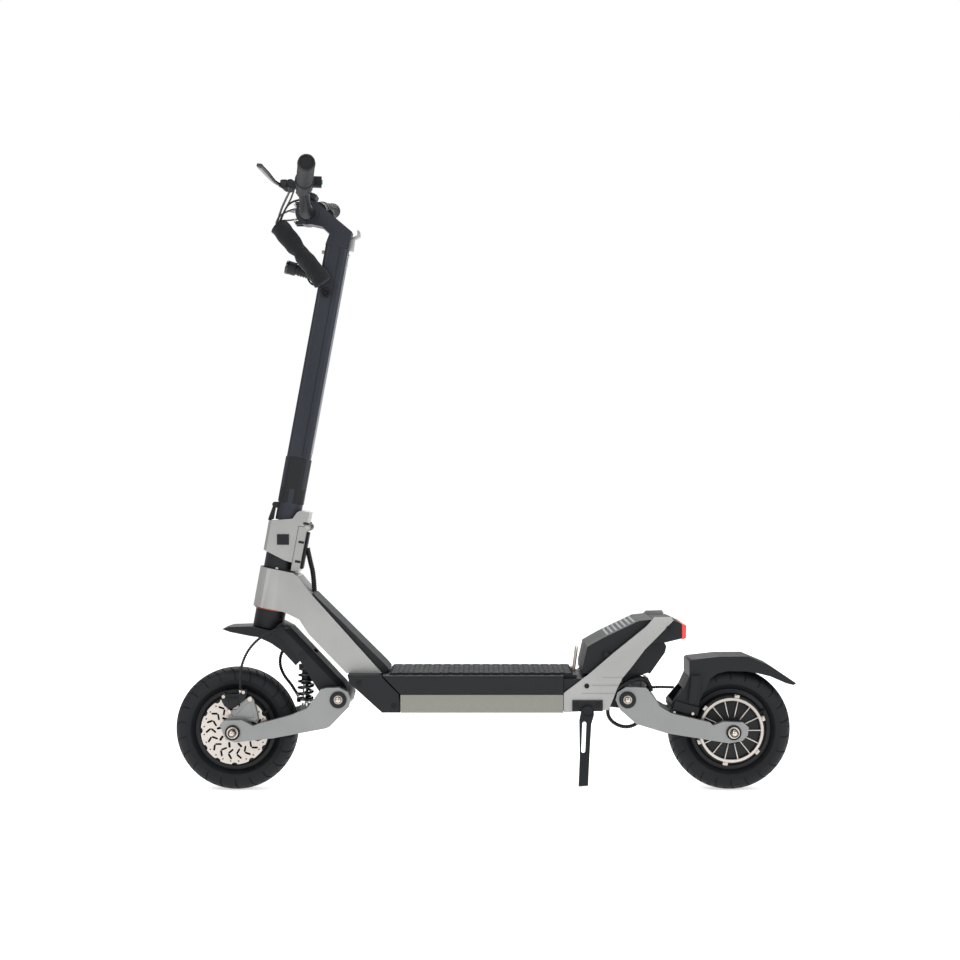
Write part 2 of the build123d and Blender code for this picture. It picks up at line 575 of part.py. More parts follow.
with BuildPart() as latch_shell:
    shell_side = [on_axis(-35.5, 78), on_axis(12, 64), on_axis(27.8, 62), on_axis(27.8, FOLD_UP + 0.5)]
    shell_side += [on_axis(45.5, FOLD_UP + 0.5), on_axis(45.5, 171), on_axis(27, 171.7)]
    shell_side += [on_axis(20, 167), on_axis(13, 152), on_axis(-35.5, 139)]
    slab(shell_side, -36, 36)
    chamfer(latch_shell.edges().filter_by(lambda edge: 60 < edge.length < 61.5), length=6)
    cavity = [on_axis(-32, 40), on_axis(60, 40), on_axis(60, FOLD_UP + 0.5), on_axis(-32, FOLD_UP + 0.5)]
    slab(cavity, -32.2, 32.2, mode=Mode.SUBTRACT)
    cross(fold_hinge, KNUCKLE_RADIUS, -KNUCKLE_SPLIT, KNUCKLE_SPLIT)
    for side in (-1, 1):
        low, high = sorted((side * (KNUCKLE_SPLIT + 0.2), side * 37))
        cross(fold_hinge, KNUCKLE_RADIUS + 0.8, low, high, mode=Mode.SUBTRACT)
    cross(fold_hinge, FOLD_PIN_RADIUS + RUNNING, -40, 40, mode=Mode.SUBTRACT)
    column(26, FOLD_UP + 5, 200, mode=Mode.SUBTRACT)
    lever_slot = [on_axis(-45, 96), on_axis(-29.2, 96), on_axis(-29.2, 160), on_axis(-45, 160)]
    slab(lever_slot, -13, 13, mode=Mode.SUBTRACT)
    button = on_axis(1.2, 106)
    slab([(button[0] - 12.5, button[1] - 11), (button[0] + 12.5, button[1] - 11),
          (button[0] + 12.5, button[1] + 11), (button[0] - 12.5, button[1] + 11)], -40, -30, mode=Mode.SUBTRACT)
save(latch_shell, "latch_shell")

with BuildPart() as latch_button:
    slab([(button[0] - 12.2, button[1] - 10.7), (button[0] + 12.2, button[1] - 10.7),
          (button[0] + 12.2, button[1] + 10.7), (button[0] - 12.2, button[1] + 10.7)],
         -38.5, -34.4, corner=3)
save(latch_button, "latch_button")

with BuildPart() as latch_lever:
    lever_side = [on_axis(-36, 97), on_axis(-32.6, 97), on_axis(-32.6, 138), on_axis(-36, 141)]
    slab(lever_side, -12.6, 12.6)
    finger_side = [on_axis(-40, 140), on_axis(-36.2, 138.9), on_axis(-29.5, 143)]
    finger_side += [on_axis(-29.5, 176), on_axis(-34, 176)]
    slab(finger_side, -9, 9)
    cross(on_axis(-34, 174), 2, -9, 9)
save(latch_lever, "latch_lever")

with BuildPart() as stem_tube:
    column(25.95, FOLD_UP + 5.1, SLEEVE[0] + 30)
    with BuildSketch(steer_plane(SLEEVE[0] + 30)) as stem_section:
        RectangleRounded(2 * STEM_HALF_DEPTH, 2 * STEM_HALF_WIDTH, 9)
    extrude(stem_section.sketch, amount=STEM_TOP - SLEEVE[0] - 30)
    with BuildSketch(steer_plane(SLEEVE[1] + 6)) as rib_groove:
        with Locations((8, STEM_HALF_WIDTH), (8, -STEM_HALF_WIDTH)):
            Rectangle(2.4, 3)
    extrude(rib_groove.sketch, amount=STEM_TOP - SLEEVE[1] - 6, mode=Mode.SUBTRACT)
    lever_clear = [on_axis(-45, 130), on_axis(-28.5, 130), on_axis(-28.5, 178), on_axis(-45, 178)]
    slab(lever_clear, -14, 14, mode=Mode.SUBTRACT)
save(stem_tube, "stem_tube")

with BuildPart() as stem_sleeve:
    column(28.5, SLEEVE[0], SLEEVE[1])
    column(26, SLEEVE[0] - 1, SLEEVE[0] + 30.1, mode=Mode.SUBTRACT)
    with BuildSketch(steer_plane(SLEEVE[0] + 30)) as sleeve_bore:
        RectangleRounded(2 * STEM_HALF_DEPTH + 0.1, 2 * STEM_HALF_WIDTH + 0.1, 9)
    extrude(sleeve_bore.sketch, amount=100, mode=Mode.SUBTRACT)
    with BuildSketch(steer_plane(SLEEVE[0])) as sleeve_outline:
        RectangleRounded(53, 51, 12)
    extrude(sleeve_outline.sketch, amount=SLEEVE[1] - SLEEVE[0], mode=Mode.INTERSECT)
save(stem_sleeve, "stem_sleeve")

with BuildPart() as gooseneck:
    neck_low = [on_axis(-STEM_HALF_DEPTH, STEM_TOP + 0.2), on_axis(STEM_HALF_DEPTH, STEM_TOP + 0.2)]
    goose_side = neck_low + [(-277, 1165.5), (-357.5, 1233), (-380, 1226), (-384, 1186), (-339, 1176)]
    goose_side += [(-324, 1162)]
    slab(goose_side, -STEM_HALF_WIDTH, STEM_HALF_WIDTH)
    cross(BAR_CENTRE, 25, -24, 24)
    slab([(-400, 1170), (-371.5, 1170), (-371.5, 1240), (-400, 1240)], -30, 30, mode=Mode.SUBTRACT)
    cross(BAR_CENTRE, BAR_RADIUS + 0.02, -30, 30, mode=Mode.SUBTRACT)
    hook_side = [(-285, 1128), (-275.5, 1126), (-272.5, 1150), (-261, 1156.5), (-261, 1167)]
    hook_side += [(-267, 1171.5), (-266.5, 1160), (-276.5, 1155), (-285, 1150)]
    slab(hook_side, -7, 7)
    below_neck = [on_axis(-30, STEM_TOP - 60), on_axis(24.7, STEM_TOP - 60), on_axis(24.7, STEM_TOP + 0.2)]
    below_neck += [on_axis(-30, STEM_TOP + 0.2)]
    slab(below_neck, -30, 30, mode=Mode.SUBTRACT)
save(gooseneck, "gooseneck")

with BuildPart() as bar_clamp_cap:
    cross(BAR_CENTRE, 25, -24, 24)
    slab([(-372.1, 1170), (-340, 1170), (-340, 1240), (-372.1, 1240)], -30, 30, mode=Mode.SUBTRACT)
    cross(BAR_CENTRE, BAR_RADIUS + 0.02, -30, 30, mode=Mode.SUBTRACT)
    for side in (-1, 1):
        for z in (BAR_CENTRE[1] - 20, BAR_CENTRE[1] + 20):
            start = (-396, side * 15, z)
            along(start, (-372.1, side * 15, z), 4)
save(bar_clamp_cap, "bar_clamp_cap")


def mirrored(point, side):
    """Point on the left (side -1) or right (side 1) of the scooter."""
    return (point[0], side * point[1], point[2])


grip_run = (Vector(*GRIP_OUTER) - Vector(*GRIP_INNER)).normalized()

with BuildPart() as handlebar:
    cross(BAR_CENTRE, BAR_RADIUS, -46, 46)
    for side in (-1, 1):
        centre = (BAR_CENTRE[0], side * 46, BAR_CENTRE[1])
        shoulder = (BAR_CENTRE[0], side * 70, BAR_CENTRE[1] + 3)
        inner = mirrored(GRIP_INNER, side)
        outer = mirrored(GRIP_OUTER, side)
        with BuildSketch(Plane(origin=centre, z_dir=(0, side, 0))) as thick_end:
            Circle(BAR_RADIUS)
        with BuildSketch(Plane(origin=shoulder, z_dir=Vector(*inner) - Vector(*shoulder))) as thin_end:
            Circle(BAR_END_RADIUS)
        loft([thick_end.sketch.face(), thin_end.sketch.face()])
        with BuildLine() as bar_path:
            FilletPolyline(shoulder, inner, outer, radius=60)
        with BuildSketch(Plane(origin=shoulder, z_dir=Vector(*inner) - Vector(*shoulder))) as bar_section:
            Circle(BAR_END_RADIUS)
        sweep(bar_section.sketch, path=bar_path.line)
save(handlebar, "handlebar")


def grip_side(side):
    """Direction and outer end of one side's straight bar end."""
    run = Vector(grip_run.X, side * grip_run.Y, grip_run.Z)
    return run, Vector(*mirrored(GRIP_OUTER, side))


with BuildPart() as grips:
    for side in (-1, 1):
        run, outer = grip_side(side)
        start = outer - run * 118
        along(start, outer + run * 4, GRIP_RADIUS)
        along(start, start + run * 4, GRIP_RADIUS + 2)
        along(start - run, outer + run * 0.02, BAR_END_RADIUS + 0.02, mode=Mode.SUBTRACT)
save(grips, "grips")

LEVER_BACK = Vector(-1, 0, 0.05).normalized()

with BuildPart() as brake_perches:
    for side in (-1, 1):
        run, outer = grip_side(side)
        perch_at = outer - run * 150
        lever_up = Vector(0, side * -0.13, 1).normalized()
        lever_pivot = perch_at + Vector(-40, 0, 2)
        along(perch_at - run * 13, perch_at + run * 13, 18)
        along(perch_at + LEVER_BACK * 12, perch_at + LEVER_BACK * 34, 8)
        tank = perch_at + LEVER_BACK * 28 - run * 30
        along(tank, tank + run * 36, 9)
        along(lever_pivot - lever_up * 7, lever_pivot + lever_up * 7, 8)
        along(lever_pivot - lever_up * 4.3, lever_pivot + lever_up * 4.3, 9.5, mode=Mode.SUBTRACT)
        along(lever_pivot - lever_up * 7, lever_pivot + lever_up * 7, 2.5)
        along(perch_at - run * 20, perch_at + run * 20, BAR_END_RADIUS + 0.02, mode=Mode.SUBTRACT)
save(brake_perches, "brake_perches")

for side, hand in ((-1, "left"), (1, "right")):
    run, outer = grip_side(side)
    lever_up = Vector(0, side * -0.13, 1).normalized()
    lever_pivot = outer - run * 150 + Vector(-40, 0, 2)
    blade_plane = Plane(origin=lever_pivot, x_dir=(-1, 0, 0), z_dir=lever_up)
    flip = -1 if blade_plane.y_dir.Y * side < 0 else 1
    with BuildPart() as lever:
        with BuildSketch(blade_plane) as blade:
            with BuildLine():
                points = [(-3, -4), (10, 2), (24, 30), (34, 80), (40, 128)]
                points += [(34, 133), (27, 82), (16, 38), (-5, 6)]
                Polyline(*[(x, flip * y) for x, y in points], close=True)
            make_face()
            Circle(6)
            Circle(2.5 + RUNNING, mode=Mode.SUBTRACT)
        extrude(blade.sketch, amount=4, both=True)
    save(lever, f"brake_lever_{hand}")

run, outer = grip_side(1)
throttle_at = outer - run * 134
paddle_pivot = throttle_at + Vector(20, 0, -7)
run_left, outer_left = grip_side(-1)
pod_at = outer_left - run_left * 134
pod_out = (Vector(1, 0, 0) - run_left * run_left.X).normalized()
pod_middle = pod_at + run_left * 7
POD_FACE = 34.0

with BuildPart() as bar_controls:
    display_plane = Plane(origin=(-374, 0, 1239), x_dir=(0, 1, 0), z_dir=(0.35, 0, 0.94))
    with BuildSketch(display_plane) as display_outline:
        RectangleRounded(64, 44, 8)
    extrude(display_outline.sketch, amount=11)
    slab([(-384, 1226), (-362, 1226), (-360, 1242), (-386, 1242)], -10, 10)
    cross(BAR_CENTRE, 25.1, -60, 60, mode=Mode.SUBTRACT)
    slab(goose_side, -23, 23, mode=Mode.SUBTRACT)
    along(throttle_at, throttle_at + run * 14, 19)
    along(paddle_pivot, paddle_pivot + run * 14, 8)
    along(paddle_pivot + run * 4, paddle_pivot + run * 10, 9.8, mode=Mode.SUBTRACT)
    along(paddle_pivot, paddle_pivot + run * 14, 2)
    along(throttle_at - run * 2, throttle_at + run * 16, BAR_END_RADIUS + 0.02, mode=Mode.SUBTRACT)
    along(pod_at, pod_at + run_left * 14, 19)
    with BuildSketch(Plane(origin=pod_middle + pod_out * 8, x_dir=run_left, z_dir=pod_out)) as pod:
        RectangleRounded(13, 22, 3)
    extrude(pod.sketch, amount=POD_FACE - 8)
    along(pod_at - run_left * 2, pod_at + run_left * 16, BAR_END_RADIUS + 0.02, mode=Mode.SUBTRACT)
    along(pod_middle + pod_out * (POD_FACE - 4), pod_middle + pod_out * (POD_FACE + 1), 5.2,
          mode=Mode.SUBTRACT)
save(bar_controls, "bar_controls")

with BuildPart() as mode_button:
    along(pod_middle + pod_out * (POD_FACE - 1.8), pod_middle + pod_out * (POD_FACE + 2), 4.9)
save(mode_button, "mode_button")

with BuildPart() as throttle_paddle:
    paddle_plane = Plane(origin=paddle_pivot + run * 4.3, x_dir=(1, 0, 0), z_dir=run)
    with BuildSketch(paddle_plane) as paddle:
        with BuildLine():
            drop = 1 if paddle_plane.y_dir.Z < 0 else -1
            Polyline((-4, drop * 2), (6, drop * -3), (16, drop * 26), (17, drop * 38), (8, drop * 40),
                     (4, drop * 26), close=True)
        make_face()
        Circle(8)
        Circle(2 + RUNNING, mode=Mode.SUBTRACT)
    extrude(paddle.sketch, amount=5.4)
save(throttle_paddle, "throttle_paddle")

with BuildPart() as headlight:
    along((-340, 0, 1073), (-404, 0, 1091), 11)
    along((-396, 0, 1088.8), (-415, 0, 1094.1), 14)
    stem_room = [on_axis(-STEM_HALF_DEPTH, 600), on_axis(60, 600), on_axis(60, 760)]
    stem_room += [on_axis(-STEM_HALF_DEPTH, 760)]
    slab(stem_room, -30, 30, mode=Mode.SUBTRACT)
save(headlight, "headlight")

# ---------------------------------------------------------------- hoses, leads and screws

WRAP = [(-430, -30, 1178), (-395, -40, 1134), (-354, -45.5, 1083), (-334, -45, 1056)]
LEFT_HOSE = [(-394, -146.5, 1236), (-398, -119, 1233), (-409, -90, 1221), (-421, -62, 1205),
             (-431.5, -37, 1183)]
RIGHT_HOSE = [(-394, 146.5, 1236), (-399, 112, 1234), (-411, 74, 1226), (-424, 34, 1213), (-434, -2, 1199),
              (-434.5, -24, 1183)]
BRAKE_HOSE = [(-402, -55.2, 342), (-424, -63, 341), (-456, -76, 328), (-484, -82, 302), (-500, -82, 268),
              (-504, -72, 238), (-505, -58, 213)]
MOTOR_LEAD = [(-416, 57.5, 303), (-432, 57.5, 283), (-437, 57.5, 257), (-428, 57.5, 231), (-409, 57.5, 209),
              (-396, 57.5, 186)]
NECK_LEAD = [(x, 0, z) for x, z in (on_axis(51.5, 96), on_axis(62, 70), on_axis(74, 45), (-356, 425))]
REAR_LEAD = [(263, -91, 214), (280, -90, 226), (306, -82, 238), (328, -67, 238), (341, -55, 225), (345, -53, 210)]

with BuildPart() as bar_cables:
    hose(WRAP, 19)
    hose(LEFT_HOSE, 2.5)
    hose(RIGHT_HOSE, 2.5)
save(bar_cables, "bar_cables")

with BuildPart() as front_cables:
    hose(BRAKE_HOSE, 2.5)
    hose(MOTOR_LEAD, 3.5)
    hose(NECK_LEAD, 5.5)
save(front_cables, "front_cables")

with BuildPart() as rear_cable:
    hose(REAR_LEAD, 5)
save(rear_cable, "rear_cable")

with BuildPart() as frame_screws:
    for side in (-1, 1):
        for x, z, y in ((-258, 231.3, 100), (-186, 184, 100), (208.6, 226, PLATE_OUTER), (376, 344, PLATE_OUTER)):
            low, high = sorted((side * (y + 0.02), side * (y + 2.5)))
            cross((x, z), 5, low, high)
            low, high = sorted((side * (y + 1), side * (y + 3)))
            cross((x, z), 2.5, low, high, mode=Mode.SUBTRACT)
    for x in (187, 233):
        cross((x, 188), 5, -115, -112.52)
save(frame_screws, "frame_screws")
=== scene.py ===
import json
import math

import bpy
from mathutils import Matrix, Vector


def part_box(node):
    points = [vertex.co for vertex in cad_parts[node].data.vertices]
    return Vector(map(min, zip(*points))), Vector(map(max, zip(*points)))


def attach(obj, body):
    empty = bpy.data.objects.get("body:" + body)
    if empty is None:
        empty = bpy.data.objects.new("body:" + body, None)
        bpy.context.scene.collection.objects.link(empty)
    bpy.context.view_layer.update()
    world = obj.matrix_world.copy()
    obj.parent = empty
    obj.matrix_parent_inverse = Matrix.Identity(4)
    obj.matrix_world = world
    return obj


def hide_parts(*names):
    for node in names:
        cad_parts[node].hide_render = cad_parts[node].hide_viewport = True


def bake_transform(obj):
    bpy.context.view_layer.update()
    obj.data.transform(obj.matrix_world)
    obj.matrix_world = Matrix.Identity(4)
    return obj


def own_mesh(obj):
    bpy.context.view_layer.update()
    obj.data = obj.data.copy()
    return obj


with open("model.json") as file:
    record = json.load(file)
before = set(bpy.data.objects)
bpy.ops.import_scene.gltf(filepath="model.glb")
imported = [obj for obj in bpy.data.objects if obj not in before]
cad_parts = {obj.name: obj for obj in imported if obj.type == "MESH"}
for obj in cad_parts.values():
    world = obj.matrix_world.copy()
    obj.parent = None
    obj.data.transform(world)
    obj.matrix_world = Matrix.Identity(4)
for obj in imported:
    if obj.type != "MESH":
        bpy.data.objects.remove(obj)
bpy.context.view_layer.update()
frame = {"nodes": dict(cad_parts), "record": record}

# Places on the scooter, in metres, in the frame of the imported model
FRONT_AXLE = Vector((-0.518, 0, 0.1275))
REAR_AXLE = Vector((0.512, 0, 0.1275))
FRONT_PIVOT = Vector((-0.301, 0, 0.195))
REAR_PIVOT = Vector((0.294, 0, 0.195))
HEAD = Vector((-0.4398, 0, 0.419))
RAKE = math.radians(10.4)
UP_AXIS = Vector((math.sin(RAKE), 0, math.cos(RAKE)))
BACK_AXIS = Vector((math.cos(RAKE), 0, -math.sin(RAKE)))
ACROSS = Vector((0, 1, 0))
GRIP_END = Vector((-0.344, 0.325, 1.258))
GRIP_RUN = Vector((0.120973, 0.984281, 0.128671))
SPRING_TOP = Vector((-0.372, 0, 0.268))
SPRING_FOOT = Vector((-0.378, 0, 0.168))

# Routes of the held hoses and leads, the same points as in the frame's own solids
WRAP = [(-0.430, -0.030, 1.178), (-0.395, -0.040, 1.134), (-0.354, -0.0455, 1.083), (-0.334, -0.045, 1.056)]
LEFT_HOSE = [(-0.394, -0.1465, 1.236), (-0.398, -0.119, 1.233), (-0.409, -0.090, 1.221),
             (-0.421, -0.062, 1.205), (-0.4315, -0.037, 1.183)]
RIGHT_HOSE = [(-0.394, 0.1465, 1.236), (-0.399, 0.112, 1.234), (-0.411, 0.074, 1.226),
              (-0.424, 0.034, 1.213), (-0.434, -0.002, 1.199), (-0.4345, -0.024, 1.183)]
BRAKE_HOSE = [(-0.402, -0.0552, 0.342), (-0.424, -0.063, 0.341), (-0.456, -0.076, 0.328),
              (-0.484, -0.082, 0.302), (-0.500, -0.082, 0.268), (-0.504, -0.072, 0.238), (-0.505, -0.058, 0.213)]
MOTOR_LEAD = [(-0.416, 0.0575, 0.303), (-0.432, 0.0575, 0.283), (-0.437, 0.0575, 0.257),
              (-0.428, 0.0575, 0.231), (-0.409, 0.0575, 0.209), (-0.396, 0.0575, 0.186)]
REAR_LEAD = [(0.263, -0.091, 0.214), (0.280, -0.090, 0.226), (0.306, -0.082, 0.238),
             (0.328, -0.067, 0.238), (0.341, -0.055, 0.225), (0.345, -0.053, 0.210)]


def on_axis(back, up, across=0.0):
    """Point given behind the steering axis, along it from the head's middle, and to the right."""
    return HEAD + BACK_AXIS * back + UP_AXIS * up + ACROSS * across


NECK_LEAD = [tuple(on_axis(0.0515, 0.096)), tuple(on_axis(0.062, 0.070)), tuple(on_axis(0.074, 0.045)),
             (-0.356, 0, 0.425)]


# ------------------------------------------------------------------ materials

def linear(colour):
    """sRGB hex to the linear colour that a shader reads."""
    parts = [int(colour[i:i + 2], 16) / 255 for i in (1, 3, 5)]
    return tuple(c / 12.92 if c <= 0.04045 else ((c + 0.055) / 1.055) ** 2.4 for c in parts) + (1.0,)


def add(material, kind, values=None, links=None, **settings):
    """One node with its settings, socket values and links."""
    made = material.node_tree.nodes.new(kind)
    for name, value in settings.items():
        setattr(made, name, value)
    for socket, value in (values or {}).items():
        made.inputs[socket].default_value = value
    for socket, source in (links or {}).items():
        material.node_tree.links.new(source, made.inputs[socket])
    return made


def surface(name, light, dark, metallic, roughness, grain, depth, stretch=(1, 1, 1), **shader):
    """Material whose colour, roughness and relief all come from grain of a real size in metres."""
    material = bpy.data.materials.new(name)
    material.use_nodes = True
    material.node_tree.nodes.clear()
    place = add(material, "ShaderNodeTexCoord")
    turn = add(material, "ShaderNodeMapping", {"Scale": stretch}, {"Vector": place.outputs["Object"]})
    broad = add(material, "ShaderNodeTexNoise", {"Scale": 9.0, "Detail": 4.0}, {"Vector": turn.outputs[0]})
    fine = add(material, "ShaderNodeTexNoise", {"Scale": 1 / grain, "Detail": 3.0}, {"Vector": turn.outputs[0]})
    mixed = add(material, "ShaderNodeMix", {"Factor": 0.45},
                {"A": broad.outputs["Fac"], "B": fine.outputs["Fac"]}, data_type="FLOAT")
    colour = add(material, "ShaderNodeValToRGB", None, {"Fac": mixed.outputs[0]})
    colour.color_ramp.elements[0].position = 0.35
    colour.color_ramp.elements[0].color = linear(dark)
    colour.color_ramp.elements[1].position = 0.65
    colour.color_ramp.elements[1].color = linear(light)
    rough = add(material, "ShaderNodeMapRange", {"From Min": 0.3, "From Max": 0.7, "To Min": roughness[0],
                                                 "To Max": roughness[1]}, {"Value": mixed.outputs[0]})
    bump = add(material, "ShaderNodeBump", {"Strength": 0.6, "Distance": depth}, {"Height": fine.outputs["Fac"]})
    values = {"Metallic": metallic}
    values.update(shader)
    shade = add(material, "ShaderNodeBsdfPrincipled", values,
                {"Base Color": colour.outputs[0], "Roughness": rough.outputs[0], "Normal": bump.outputs[0]})
    add(material, "ShaderNodeOutputMaterial", None, {"Surface": shade.outputs[0]})
    return material


def silver_paint():
    """Metallic silver paint on cast aluminium: fine sparkle under a clear coat."""
    return surface("silver_metallic_paint", "#ACACAB", "#9B9B9A", 0.78, (0.36, 0.46), 0.0004, 0.00002,
                   **{"Coat Weight": 0.25, "Coat Roughness": 0.25})


def arm_paint():
    """Darker silver paint on the forged arms."""
    return surface("arm_metallic_paint", "#959696", "#868787", 0.78, (0.36, 0.46), 0.0004, 0.00002,
                   **{"Coat Weight": 0.2, "Coat Roughness": 0.3})


def powder_coat():
    """Black powder coat on aluminium: orange-peel a fraction of a millimetre across."""
    return surface("black_powder_coat", "#14171C", "#0C0E12", 0.0, (0.40, 0.52), 0.0011, 0.00006,
                   **{"Specular IOR Level": 0.32})


def stem_anodising():
    """Dark anodised aluminium, brushed along the stem before it was dyed."""
    return surface("dark_anodised_aluminium", "#34373F", "#292C33", 0.6, (0.36, 0.48), 0.0006, 0.00002,
                   stretch=(1, 1, 0.05))


def stem_painted_highlight():
    """Painted highlight: a lighter anodised colour for a strip at the back of the stem, standing in for light caught
    by the stem's rear chamfer.
    """
    return surface("painted_chamfer_highlight", "#8C8C94", "#7C7C84", 0.7, (0.34, 0.44), 0.0006, 0.00002, stretch=(1, 1, 0.05))


def deck_anodising():
    """Bead-blasted, warm grey anodised deck extrusion."""
    return surface("bead_blasted_anodised_aluminium", "#92918A", "#82817A", 0.75, (0.42, 0.52), 0.0005, 0.00003,
                   stretch=(0.05, 1, 1))


def plated_steel():
    """Zinc-plated steel fasteners with a faint warm cast."""
    return surface("zinc_plated_steel", "#D6CCC0", "#BDB3A8", 0.95, (0.22, 0.36), 0.0005, 0.00001)


def ground_steel():
    """Ground stainless brake disc: fine marks across the braking band."""
    return surface("ground_stainless_steel", "#D2CCC5", "#BBB4AD", 0.9, (0.26, 0.40), 0.0007, 0.00002)


def hard_chrome():
    """Hard chrome on the damper rods."""
    return surface("hard_chrome", "#DADBDC", "#CFD0D2", 1.0, (0.08, 0.14), 0.002, 0.000005)


def hub_enamel():
    """Satin black enamel on the cast hub."""
    return surface("satin_black_enamel", "#111317", "#0A0B0E", 0.0, (0.38, 0.5), 0.0008, 0.00003,
                   **{"Specular IOR Level": 0.3})


def tyre_rubber():
    """Tyre rubber: dull and slightly dusty grey where it bends."""
    return surface("tyre_rubber", "#16191E", "#0E1013", 0.0, (0.55, 0.7), 0.0012, 0.00008,
                   **{"Specular IOR Level": 0.3})


def mat_rubber():
    """Moulded deck rubber with a sanded top."""
    return surface("moulded_deck_rubber", "#171A1F", "#0F1115", 0.0, (0.55, 0.72), 0.0009, 0.00010,
                   **{"Specular IOR Level": 0.3})


def grip_rubber():
    """Soft grip rubber with a dry sheen."""
    return surface("soft_grip_rubber", "#121418", "#0A0B0E", 0.0, (0.46, 0.6), 0.0007, 0.00008,
                   **{"Specular IOR Level": 0.3, "Sheen Weight": 0.04})


def moulded_nylon():
    """Glass-filled nylon mouldings with a spark-eroded grain."""
    return surface("glass_filled_nylon", "#13161A", "#0B0D10", 0.0, (0.44, 0.58), 0.0008, 0.00007,
                   **{"Specular IOR Level": 0.32})


def red_lens():
    """Moulded red acrylic."""
    return surface("red_acrylic", "#F2321F", "#DD1F15", 0.0, (0.10, 0.18), 0.003, 0.00002,
                   **{"Coat Weight": 0.6, "Emission Color": linear("#F02A20"), "Emission Strength": 0.25})


def green_button():
    """Green acetal button."""
    return surface("green_acetal", "#2FB45A", "#249448", 0.0, (0.25, 0.35), 0.002, 0.00002)


def nylon_sleeve():
    """Woven nylon over the cable bundle: thread pitch 0.9 mm, drawn coarse enough to show."""
    material = surface("woven_nylon_sleeve", "#121519", "#0A0C0F", 0.0, (0.62, 0.8), 0.0009, 0.0001,
                       **{"Specular IOR Level": 0.25, "Sheen Weight": 0.06, "Sheen Roughness": 0.5})
    tree = material.node_tree
    place = add(material, "ShaderNodeTexCoord")
    turn = add(material, "ShaderNodeMapping", {"Rotation": (0, math.radians(52), 0)}, {"Vector": place.outputs["Object"]})
    weft = add(material, "ShaderNodeTexWave", {"Scale": 360.0, "Distortion": 0.6}, {"Vector": turn.outputs[0]},
               bands_direction="X")
    warp = add(material, "ShaderNodeTexWave", {"Scale": 360.0, "Distortion": 0.6}, {"Vector": turn.outputs[0]},
               bands_direction="Z")
    weave = add(material, "ShaderNodeMath", None, None, operation="MAXIMUM")
    tree.links.new(weft.outputs["Fac"], weave.inputs[0])
    tree.links.new(warp.outputs["Fac"], weave.inputs[1])
    bump = [n for n in tree.nodes if n.bl_idname == "ShaderNodeBump"][0]
    bump.inputs["Distance"].default_value = 0.0003
    tree.links.new(weave.outputs[0], bump.inputs["Height"])
    return material


def lamp_glass():
    """Clear moulded lens."""
    return surface("clear_polycarbonate", "#DDE3E8", "#C9D2DA", 0.0, (0.04, 0.08), 0.004, 0.00001,
                   **{"Transmission Weight": 0.6, "Coat Weight": 0.5})


def screen_glass():
    """Black glass over the display."""
    return surface("black_display_glass", "#101216", "#0B0C0F", 0.0, (0.05, 0.09), 0.004, 0.00001,
                   **{"Coat Weight": 1.0})


def copper_seal():
    """Copper-coloured anodised bearing cover."""
    return surface("copper_anodised_aluminium", "#B5573A", "#9A4630", 0.8, (0.3, 0.4), 0.0006, 0.00002)


def grit_strip():
    """Light grey grip tape with grit about half a millimetre across."""
    return surface("grip_tape", "#A9ABAD", "#7E8184", 0.0, (0.7, 0.9), 0.0009, 0.0003)


def black_oxide():
    """Black-oxided steel fasteners, slightly oily."""
    return surface("black_oxide_steel", "#1B1C1E", "#101112", 0.6, (0.3, 0.42), 0.0006, 0.00001)


def gloss_black():
    """Gloss black enamel on the levers, spring and small castings."""
    return surface("gloss_black_enamel", "#0D0E10", "#08090A", 0.0, (0.2, 0.3), 0.0015, 0.00002,
                   **{"Coat Weight": 0.4, "Coat Roughness": 0.1})


FINISHES = {
    "silver_paint": silver_paint(), "arm_paint": arm_paint(), "black_paint": powder_coat(),
    "stem_grey": stem_anodising(), "anodised": deck_anodising(), "steel": plated_steel(),
    "disc_steel": ground_steel(), "chrome": hard_chrome(), "hub_black": hub_enamel(), "tyre": tyre_rubber(),
    "mat_rubber": mat_rubber(), "grip_rubber": grip_rubber(), "black_plastic": moulded_nylon(),
    "red_lens": red_lens(), "green_button": green_button(), "sleeve_fabric": nylon_sleeve(),
}
LENS = lamp_glass()
SCREEN = screen_glass()
COPPER = copper_seal()
GRIT = grit_strip()
BLACK_OXIDE = black_oxide()
GLOSS_BLACK = gloss_black()
# painted highlight: material for the lighter strip that stands in for light on the stem's rear chamfer
CHAMFER_HIGHLIGHT_PAINT = stem_painted_highlight()

for part in frame["record"]["subparts"]:
    shape = frame["nodes"][part["node"]]
    shape.data.materials.clear()
    shape.data.materials.append(FINISHES[part["material_slot"]])


# ------------------------------------------------------------------ ways of making a piece

def settle(piece, name, body, slot, material=None, smooth=40):
    """Name a finished piece, apply its place, give it its finish and let it ride."""
    bpy.ops.object.select_all(action="DESELECT")
    piece.select_set(True)
    bpy.context.view_layer.objects.active = piece
    bpy.ops.object.transform_apply(location=True, rotation=True, scale=True)
    piece.name = name
    piece.data.name = name
    piece.data.materials.clear()
    piece.data.materials.append(material or FINISHES[slot])
    bpy.ops.object.shade_smooth_by_angle(angle=math.radians(smooth))
    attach(piece, body)
    return piece


def stand(centre, direction, turn=0.0):
    """Matrix that puts local Z along a direction, at a place."""
    return Matrix.Translation(centre) @ direction.to_track_quat("Z", "Y").to_matrix().to_4x4() @ Matrix.Rotation(turn, 4, "Z")


